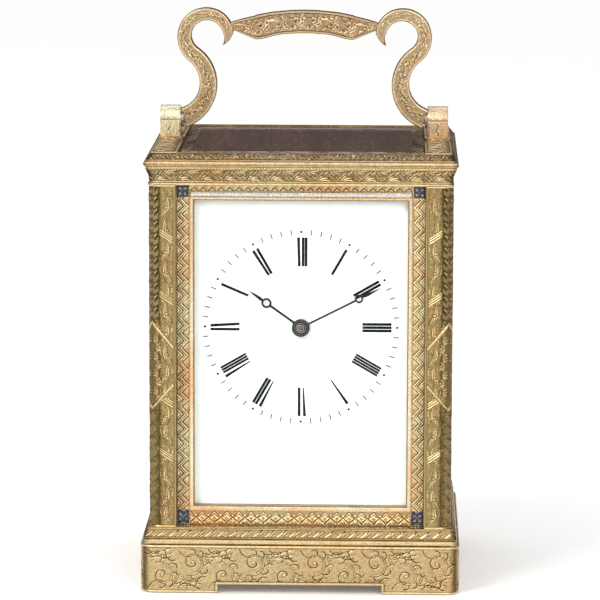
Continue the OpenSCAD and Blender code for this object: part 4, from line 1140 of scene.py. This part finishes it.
def handle(mat):
    """Both scroll arms and the grip, engraved, in place of their CAD nodes."""
    jz = joint_z("handle_swing")
    t = 4.5
    ina = lo("handle_bracket_right")[0] + 0.3
    gx = ina - 0.8
    lx, lz, rl, ru, ja = gx + 3.5, jz + 10.8, 11.0, 6.9, math.radians(53.4)
    ux, uz = lx - (rl + ru) * math.cos(ja), lz + (rl + ru) * math.sin(ja)
    a_end = math.asin((lx - gx) / rl)
    aa = np.linspace(1.5 * math.pi - a_end, math.pi - ja, 120)
    low = np.stack([lx + rl * np.cos(aa), lz + rl * np.sin(aa)], 1)
    bb = np.linspace(-ja, math.radians(167), 190)
    rr = np.interp(bb, [-ja, 0.6, 2.0, bb[-1]], [ru, 6.95, 6.75, 6.5])
    up = np.stack([ux + rr * np.cos(bb), uz + rr * np.sin(bb)], 1)
    cc = np.linspace(math.radians(167), math.radians(207), 36)[1:]
    rc = np.interp(cc, [cc[0], cc[-1]], [6.48, 5.45])
    hook = np.stack([ux + rc * np.cos(cc), uz + rc * np.sin(cc)], 1)
    cl = np.concatenate([low, up[1:], hook])
    s = np.concatenate([[0], np.cumsum(np.linalg.norm(np.diff(cl, axis=0), axis=1))])
    S = s[-1]
    n_low, n_up = len(low), len(up) - 1
    k0, k1 = s[n_low - 1], s[n_low + n_up - 1]
    hw = np.interp(s, [0, k0 * 0.5, k0, k0 + (k1 - k0) * 0.3, k0 + (k1 - k0) * 0.62, k1, S],
            [2.95, 2.65, 2.35, 2.05, 1.85, 1.62, 0.05])
    # even spacing along the bar
    m = 330
    si = np.linspace(0, S, m)
    cl = np.stack([np.interp(si, s, cl[:, 0]), np.interp(si, s, cl[:, 1])], 1)
    hw = np.interp(si, s, hw)
    for _ in range(6):
        cl[1:-1] = 0.25 * cl[:-2] + 0.5 * cl[1:-1] + 0.25 * cl[2:]
    for side in (1, -1):
        e = Engraving(S, 4.6, 0.15, ground=0.56, stipple=0.05)
        q, sg = 0.4, 1
        while q < S - 7.0:
            e.cut(curl(q, 2.3 - sg * 1.25, sg * 0.62, 5.4, -sg * 1.2, 26), 0.13, 0.18)
            for o, ln in ((0.6, 1.5), (1.5, 1.7), (2.4, 1.5), (3.3, 1.1)):
                leaf = curl(q + o, 2.3 - sg * (0.8 - 0.30 * o), -sg * 0.5, ln, sg * 1.9, 12)
                e.cut(leaf, 0.12, 0.22, 1.15)
            e.cut(curl(q + 0.8, 2.3 + sg * 1.1, -sg * 0.25, 2.6, -sg * 0.9, 14), 0.11, 0.25, 1.1)
            q += 3.7
            sg = -sg
        e.soften(0.80, 1.0).painted_glints(45, 1.1, 0.15, 0.7, 1.2, 0.5, S - 5.0, 0.8, 3.8)
        e.paint_slope_light(0.22)
        e.border(0.34, 0.06, 0.24, "bt", tone=0.66)
        P, K = loft(cl, hw, t, e)
        if side < 0:
            P = P.copy()
            P[..., 0] *= -1
            P, K = P[::-1], K[::-1]
        nm = "handle_scroll_" + ("right" if side > 0 else "left")
        ob = grid_object(nm + "_arm", P[::-1], K[::-1], "handle", mat, closed_v=True)
        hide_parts(nm)
    # upper and lower outline of the grip: distance from the middle, height
    top = np.array([
        (-22.6, 4.1), (-22.1, 4.35), (-19.05, 5.3), (-14.5, 6.4), (-9.9, 7.35), (-3.8, 7.95), (0, 8.05),
        (3.8, 7.95), (9.9, 7.35), (14.5, 6.4), (19.05, 5.3), (22.1, 4.35), (22.6, 4.1),
    ])
    bot = np.array([
        (-22.6, 2.6), (-21.8, 2.2), (-19.05, 1.07), (-16, -0.15), (-14.5, -0.76), (-13, -0.55), (-9.9, 0.3),
        (-6.9, 0.85), (-2.3, 1.16), (0, 1.2), (2.3, 1.16), (6.9, 0.85), (9.9, 0.3), (13, -0.55),
        (14.5, -0.76), (16, -0.15), (19.05, 1.07), (21.8, 2.2), (22.6, 2.6),
    ])
    kx = ux / 29.5
    x = np.linspace(-22.6, 22.6, 280)
    zt, zb = np.interp(x, top[:, 0], top[:, 1]), np.interp(x, bot[:, 0], bot[:, 1])
    ker = np.ones(7) / 7
    zt = np.convolve(np.pad(zt, 3, mode="edge"), ker, "valid")
    cl = np.stack([x * kx, uz + (zt + zb) / 2], 1)
    e = Engraving(45.2, 7.0, 0.15, ground=0.54, stipple=0.06)
    for x0, x1, flip in ((1.5, 22.6, 1), (22.6, 43.7, -1)):
        scroll_lines(e, x0, x1, 1.1, 5.9, 5.2, flip, 0.12, 1.15)
    e.soften(0.85, 1.0, 0.54).painted_glints(40, 1.0, 0.14, 0.7, 1.15, 1.0, 44.0, 0.9, 6.1)
    e.paint_slope_light(0.22)
    e.border(0.40, 0.06, 0.24, "bt", tone=0.62)
    P, K = loft(cl, (zt - zb) / 2, t, e)
    ob = grid_object("handle_grip_bar", P, K, "handle", mat, closed_v=True)
    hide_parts("handle_grip")


# ---------------------------------------------------------------- dial
class Flat:
    """Thin printed shapes on the dial, as one mesh."""

    def __init__(self):
        self.v, self.f = [], []

    def poly(self, pts):
        n = len(self.v)
        self.v += [(p[0], 0.0, p[1]) for p in pts]
        self.f.append(list(range(n, n + len(pts))))

    def build(self, name, y, cz, thick, mat):
        me = bpy.data.meshes.new(name)
        v = [(p[0] * MM, y * MM, (p[2] + cz) * MM) for p in self.v]
        v2 = [(p[0] * MM, (y - thick) * MM, (p[2] + cz) * MM) for p in self.v]
        n = len(v)
        faces = []
        for f in self.f:
            pairs = [(self.v[p], self.v[q]) for p, q in zip(f, f[1:] + f[:1])]
            area2 = sum(p[0] * q[2] - q[0] * p[2] for p, q in pairs)
            g = f if area2 > 0 else f[::-1]
            faces.append([i + n for i in g])
            faces.append(g[::-1])
            for i in range(len(g)):
                a0, b0 = g[i], g[(i + 1) % len(g)]
                faces.append([a0, b0, b0 + n, a0 + n])
        me.from_pydata(v + v2, [], faces)
        me.materials.append(mat)
        me.update()
        ob = add_object(name, me)
        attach(ob, "case")


NUMERALS = {
    # hour: (kind, offset at the outer end, offset at the inner end), mm clockwise from the hour line
    0: [("X", -0.80, -0.55), ("I", 0.56, 0.56), ("I", 1.45, 1.45)],
    1: [("I", 0.0, 0.0)],
    2: [("I", -0.50, -0.50), ("I", 0.52, 0.52)],
    3: [("I", -0.98, -0.98), ("I", 0.0, 0.0), ("I", 0.98, 0.98)],
    4: [("I", -1.20, -1.20), ("I", -0.40, -0.40), ("I", 0.40, 0.40), ("I", 1.20, 1.20)],
    5: [("V", -0.55, 0.15)],
    6: [("V", -1.15, -0.75), ("I", 0.50, 0.50)],
    7: [("V", -1.50, -1.10), ("I", -0.05, -0.05), ("I", 0.88, 0.88)],
    8: [("V", -1.85, -1.45), ("I", -0.45, -0.45), ("I", 0.35, 0.35), ("I", 1.15, 1.15)],
    9: [("I", -0.76, -0.76), ("X", 0.35, 0.90)],
    10: [("X", -0.75, 0.30)],
    11: [("X", -0.92, -0.48), ("I", 0.45, 0.45)],
}


def dial(mat_ink, mat_grey):
    """Roman numerals, minute marks and the round dots at the hours."""
    cz = joint_z("centre_spin")
    y = lo("dial")[1]
    ink_, grey = Flat(), Flat()
    r0, r1 = 18.3, 27.0

    def bar(to, th, r_o, a_o, w_o, r_i, a_i, w_i):
        c, sn = math.cos(math.radians(90 - th)), math.sin(math.radians(90 - th))
        pts = []
        for r, a in ((r_o, a_o - w_o / 2), (r_o, a_o + w_o / 2),
                (r_i, a_i + w_i / 2), (r_i, a_i - w_i / 2)):
            pts.append((r * c + a * sn, r * sn - a * c))
        to.poly(pts)

    for h, parts in NUMERALS.items():
        th = 30 * h
        for kind, a_o, a_i in parts:
            if kind == "I":
                w = 0.68 if h in (4, 8) else 0.82
                bar(ink_, th, r1, a_o, w, r0, a_i, w)
            elif kind == "X":
                bar(ink_, th, r1, a_o, 0.86, r0, a_i, 0.78)
                bar(grey, th, r1, a_i + 0.25, 0.05, r0, a_o - 0.25, 0.05)
            else:
                bar(ink_, th, r1, a_o, 0.90, r0, a_i, 0.34)
                bar(grey, th, r1, a_i + 0.75, 0.05, r0, a_i, 0.05)
    for i in range(60):
        ang = math.radians(90 - i * 6)
        if i % 5 == 0:
            cx, cy = 28.65 * math.cos(ang), 28.65 * math.sin(ang)
            ink_.poly([(cx + 0.37 * math.cos(t), cy + 0.37 * math.sin(t)) for t in np.linspace(0,
                    2 * math.pi, 17)[:-1]])
        else:
            bar(grey, i * 6, 29.4, 0, 0.40, 27.7, 0, 0.40)
    ink_.build("dial_numerals", y + 0.01, cz, 0.035, mat_ink)
    grey.build("dial_minute_marks", y + 0.01, cz, 0.03, mat_grey)


def disc_rings(name, node, radii, body, mat):
    """Turned rings on the face of a round piece that looks to the front: radius, height, tone."""
    a, b = lo(node), hi(node)
    cx, cz, y = (a[0] + b[0]) / 2, (a[2] + b[2]) / 2, a[1]
    tip = max(0.0, y - min(lo(q)[1] for q in ("centre_wheel", "cannon_pinion"))) + 0.03
    n = 64
    t = np.linspace(0, 2 * np.pi, n, endpoint=False)
    radii = [(r, h + (tip if r < 1.0 else 0.0), k) for r, h, k in radii]
    P = np.stack([np.stack([cx + r * np.cos(t), np.full(n, y - h), cz + r * np.sin(t)], 1) for r, h,
            _ in radii], 1)
    K = np.array([k for _, _, k in radii])[None, :] * np.ones((n, 1))
    grid_object(name, P, K, body, mat, closed_u=True)


def bracket(name, mat, mat_f):
    """Engraved wrap over a handle bracket, and engraved strips of the cornice before and behind it."""
    a, b = lo(name), hi(name)
    jz = joint_z("handle_swing")
    x0, x1 = a[0] + 0.3, b[0] - 0.3
    r, z0 = 4.1, hi("cornice")[2]
    w = x1 - x0
    low = [(-4.2, z) for z in np.linspace(jz - 0.4, z0 + 0.7, 30)] + [(-4.32, z0 + 0.45),
            (-4.5, z0 + 0.25), (-4.55, z0 + 0.05)]
    front = [(-r * math.sin(t), jz + r * math.cos(t)) for t in np.linspace(math.radians(-60),
            math.radians(90), 44)] + low
    front = np.array(front)
    seg = np.concatenate([[0], np.cumsum(np.hypot(*np.diff(front, axis=0).T))])
    e = Engraving(w, seg[-1], 0.13, ground=0.74, stipple=0.05)
    Y = e.y
    zz, yy = np.interp(Y, seg, front[:, 1]), np.interp(Y, seg, front[:, 0])
    m = np.abs(zz - (jz + 0.05)) < 0.17
    m &= yy < 0
    e.z[:, m] = -0.15
    e.k[:, m] = 0.08
    # painted shade: darker on the flared foot, which faces down where it meets the cornice
    m = (zz < z0 + 0.75) & (yy < 0)
    e.k[:, m] = 0.45
    t = np.linspace(0, 1, 30)
    s0 = float(np.interp(-(jz - 1.3), -front[:, 1][20:], seg[20:]))
    sq = np.stack([w * 0.46 + 0.32 * np.sin(t * 9.0), s0 + t * 3.1], 1)
    e.line(sq, 0.13, 0.12, 0.05)
    for yy0, tn in ((4.6, 0.45), (5.5, 0.5), (7.2, 0.3)):
        e.line(np.stack([np.linspace(0.5, w - 0.6, 24), yy0 + 0.3 * np.sin(np.linspace(0, 7, 24))], 1),
                0.12, 0.08, tn)
    e.border(0.22, 0.05, 0.10, "lr")
    dy, dz = np.gradient(yy, Y), np.gradient(zz, Y)
    ln = np.hypot(dy, dz) + 1e-9
    ny, nz = dz / ln, -dy / ln
    H = e.z + 0.12
    H[0, :] = H[-1, :] = -0.04
    H[:, 0] = H[:, -1] = -0.04
    P = np.stack([x0 + e.x[:, None] * np.ones_like(H), yy[None, :] + H * ny[None, :],
            zz[None, :] + H * nz[None, :]], -1)
    grid_object(name + "_face", P, e.k, "case", mat)
    # engraved strip of the cornice top before and behind the bracket
    by = hi("base_plinth")[1]
    fw, fd = w + 1.6, by - 3.75 - 4.7
    for sg, tag in ((-1, "front"), (1, "rear")):
        e = Engraving(fw, fd, 0.18, ground=0.50, stipple=0.08)
        for q in range(3):
            for s2 in (-1, 1):
                acanthus(e, fw / 2 + s2 * 0.5, 1.5 + q * fd / 3, math.pi / 2 - s2 * 0.35,
                        fd * 0.34, s2 * 0.7, 2.4, 5)
        for q in np.arange(2.5, fd - 2.0, 4.6):
            t = np.linspace(0, 1, 24)
            e.stroke(np.stack([0.9 + (fw - 1.8) * t, q + 1.6 * np.sin(t * 6.3 + q)], 1),
                    tear(24, 0.55), edge=0.5, tone=1.35)
        e.border(0.4, 0.08, 0.3)
        e.paint_slope_light(0.2)
        X, Y = np.meshgrid(e.x, e.y, indexing="ij")
        rise = 0.5 * np.clip(np.minimum(np.minimum(X, fw - X), np.minimum(Y, fd - Y)) / 0.8, 0, 1)
        e.z[0, :] = e.z[-1, :] = 0
        e.z[:, 0] = e.z[:, -1] = 0
        P = np.stack([x0 - 0.8 + X, sg * (by - 3.75 - Y), z0 - 0.02 + rise + e.z], -1)
        K = e.k
        if sg > 0:
            P, K = P[::-1], K[::-1]
        grid_object(name + "_strip_" + tag, P, K, "case", mat_f)


# ---------------------------------------------------------------- materials on the CAD nodes
def bevel(node, w):
    """Round a CAD node's edges, w in mm."""
    m = N[node].modifiers.new("edge", "BEVEL")
    m.width = w * MM
    m.segments = 2
    m.limit_method = "ANGLE"
    m.angle_limit = math.radians(35)
    m.use_clamp_overlap = True


def paint(mat, *nodes):
    """Put one material on CAD nodes."""
    for n in nodes:
        o = N[n]
        if not o.data.materials:
            o.data.materials.append(mat)
        for s in o.material_slots:
            s.material = mat


def floor():
    """A white floor a little under the feet."""
    me = bpy.data.meshes.new("floor")
    me.from_pydata([(-9, -4, 0), (9, -4, 0), (9, 9, 0), (-9, 9, 0)], [], [(0, 1, 2, 3)])
    fl = add_object("floor", me)
    fl.location.z = -0.0002
    fm = Mat("floor_white")
    rp = fm.ramp_of(fm.noise(3.0), [(0.0, (0.88, 0.88, 0.88)), (1.0, (0.92, 0.92, 0.92))])
    fm.link(rp, "Color", fm.b, "Base Color")
    fm.b.inputs["Roughness"].default_value = 0.8
    fm.b.inputs["Emission Color"].default_value = (1, 1, 1, 1)
    fm.b.inputs["Emission Strength"].default_value = 0.12
    me.materials.append(fm.m)


COLLET_RINGS = [
    # radius, height, tone
    (0.02, 0.10, 0.5), (0.28, 0.10, 0.9), (0.34, 0.02, 0.0), (0.62, 0.02, 0.0), (0.7,
            0.10, 0.8), (0.95, 0.12, 0.9),
    (1.02, 0.04, 0.1), (1.25, 0.05, 0.3), (1.32, 0.12, 0.75), (1.6, 0.12, 0.5), (1.68,
            0.03, 0.0), (1.95, 0.05, 0.25),
    (2.05, 0.10, 0.6), (2.3, 0.08, 0.4), (2.4, 0.02, 0.05), (2.62, 0.0, 0.3), (2.64, -0.15, 0.2),
]


def main():
    bpy.context.scene.view_settings.view_transform = "Standard"
    world()
    camera()
    area("key", (-0.75, -0.9, 1.0), (0, 0, 0.08), 0.5, 0.5, 9.0, (1.0, 0.985, 0.96))
    area("fill", (0.5, -1.3, 0.7), (0, 0, 0.08), 0.5, 0.4, 4.0)
    floor()

    dk = (0.050, 0.034, 0.014)
    gilt = brass_relief("gilt_engraved", dk, (0.47, 0.345, 0.165), (0.86, 0.70, 0.40))
    pil = brass_relief("gilt_pillar", (0.045, 0.034, 0.012), (0.42, 0.31, 0.13),
            (0.84, 0.68, 0.36), tint_amt=0.25)
    rimg = brass_relief("gilt_rim", (0.04, 0.028, 0.014), (0.36, 0.26, 0.14), (0.80, 0.66, 0.42))
    maskg = brass_relief("gilt_mask", (0.06, 0.03, 0.02), (0.46, 0.30, 0.17),
            (1.0, 0.82, 0.46), tint_amt=0.6)
    gilt_h = brass_relief("gilt_handle", (0.045, 0.028, 0.014), (0.38, 0.275, 0.15),
            (0.82, 0.66, 0.42), tint_amt=0.35)
    plain = brass_relief("gilt_plain", (0.12, 0.08, 0.04), (0.56, 0.41, 0.21),
            (0.90, 0.74, 0.45), rough=0.26, tint_amt=0.25)
    pale = brass_relief("gilt_pale", (0.08, 0.06, 0.03), (0.62, 0.52, 0.30),
            (0.98, 0.90, 0.66), rough=0.22, tint_amt=0.1)
    pink = brass_relief("gilt_rose", (0.08, 0.05, 0.03), (0.54, 0.36, 0.22),
            (0.92, 0.72, 0.50), rough=0.26, tint_amt=0.6)
    # pale grey for the bar above the dial, painted as the glass bevel's highlight
    highlight_mat = brass_relief("painted_bevel_highlight", (0.2, 0.17, 0.15), (0.48, 0.43, 0.38),
            (0.72, 0.66, 0.60), rough=0.2, tint_amt=0.1)
    # dark bluish grey for the corner squares, painted as reflections in the glass bevel
    reflection_mat = brass_relief("painted_bevel_reflection", (0.02, 0.018, 0.024), (0.13, 0.12, 0.145),
            (0.50, 0.47, 0.50), rough=0.4, tint_amt=0.1)
    smooth = brass_plain("gilt_smooth", (0.62, 0.46, 0.24), 0.24)
    dark = brass_plain("gilt_dull", (0.30, 0.21, 0.10), 0.34)
    mov = brass_plain("movement_brass", (0.62, 0.46, 0.22), 0.26, 0.75, 60.0, grain=(1, 1, 14))
    top_pane = glass("bevelled_glass", (0.90, 0.88, 0.90), bevels=0.55)
    pane = glass("pane_glass", ior=1.12)
    stl = steel("polished_steel", (0.50, 0.50, 0.51), 0.2)
    blued = steel("blued_steel", (0.05, 0.08, 0.26), 0.22, (0.10, 0.16, 0.42))
    hands = ink("hand_steel", (0.018, 0.016, 0.024))
    collet = brass_relief("collet_steel", (0.01, 0.009, 0.01), (0.10, 0.085, 0.09),
            (0.42, 0.38, 0.38), rough=0.3, tint_amt=0.1)
    spring = steel("spring_steel", (0.28, 0.32, 0.42), 0.25)
    copper = brass_plain("copper", (0.72, 0.36, 0.22), 0.32)
    white = enamel("dial_enamel")
    black = ink("dial_black", (0.003, 0.003, 0.003))
    grey = ink("dial_grey", (0.12, 0.12, 0.13))
    ruby = glass("ruby", (0.62, 0.02, 0.08), 0.05, 1.76)

    slots = {s["node"]: s["material_slot"] for s in frame["record"]["subparts"]}
    table = {
        "gilt_engraved": dark,
        "gilt_plain": smooth,
        "movement_brass": mov,
        "fixing_steel": stl,
        "polished_steel": stl,
        "blued_steel": blued,
        "hand_steel": hands,
        "spring_steel": spring,
        "dial_enamel": white,
        "copper": copper,
        "ruby": ruby,
        "pane_glass": pane,
    }
    for n, s in slots.items():
        paint(table[s], n)
    paint(top_pane, "top_glass")
    paint(smooth, "cornice", "base_plinth", "base_deck")
    paint(collet, "hand_collet")
    for n in N:
        if slots[n] in ("gilt_engraved", "gilt_plain"):
            bevel(n, 0.2)
    for n in ("movement_front_plate", "movement_back_plate", "platform_plate", "escape_cock",
            "balance_cock", "movement_blocks"):
        bevel(n, 0.12)

    plinth(gilt)
    mouldings(gilt, plain, rimg)
    for row, sy in (("front", -1), ("rear", 1)):
        pillar("pillar_%s_left" % row, -1, sy, pil)
        pillar("pillar_%s_right" % row, 1, sy, pil)
    mask(maskg, pink, highlight_mat, reflection_mat)
    bracket("handle_bracket_left", pale, rimg)
    bracket("handle_bracket_right", pink, rimg)
    handle(gilt_h)
    dial(black, grey)
    disc_rings("collet_rings", "hand_collet", COLLET_RINGS, "centre_arbor", collet)


main()
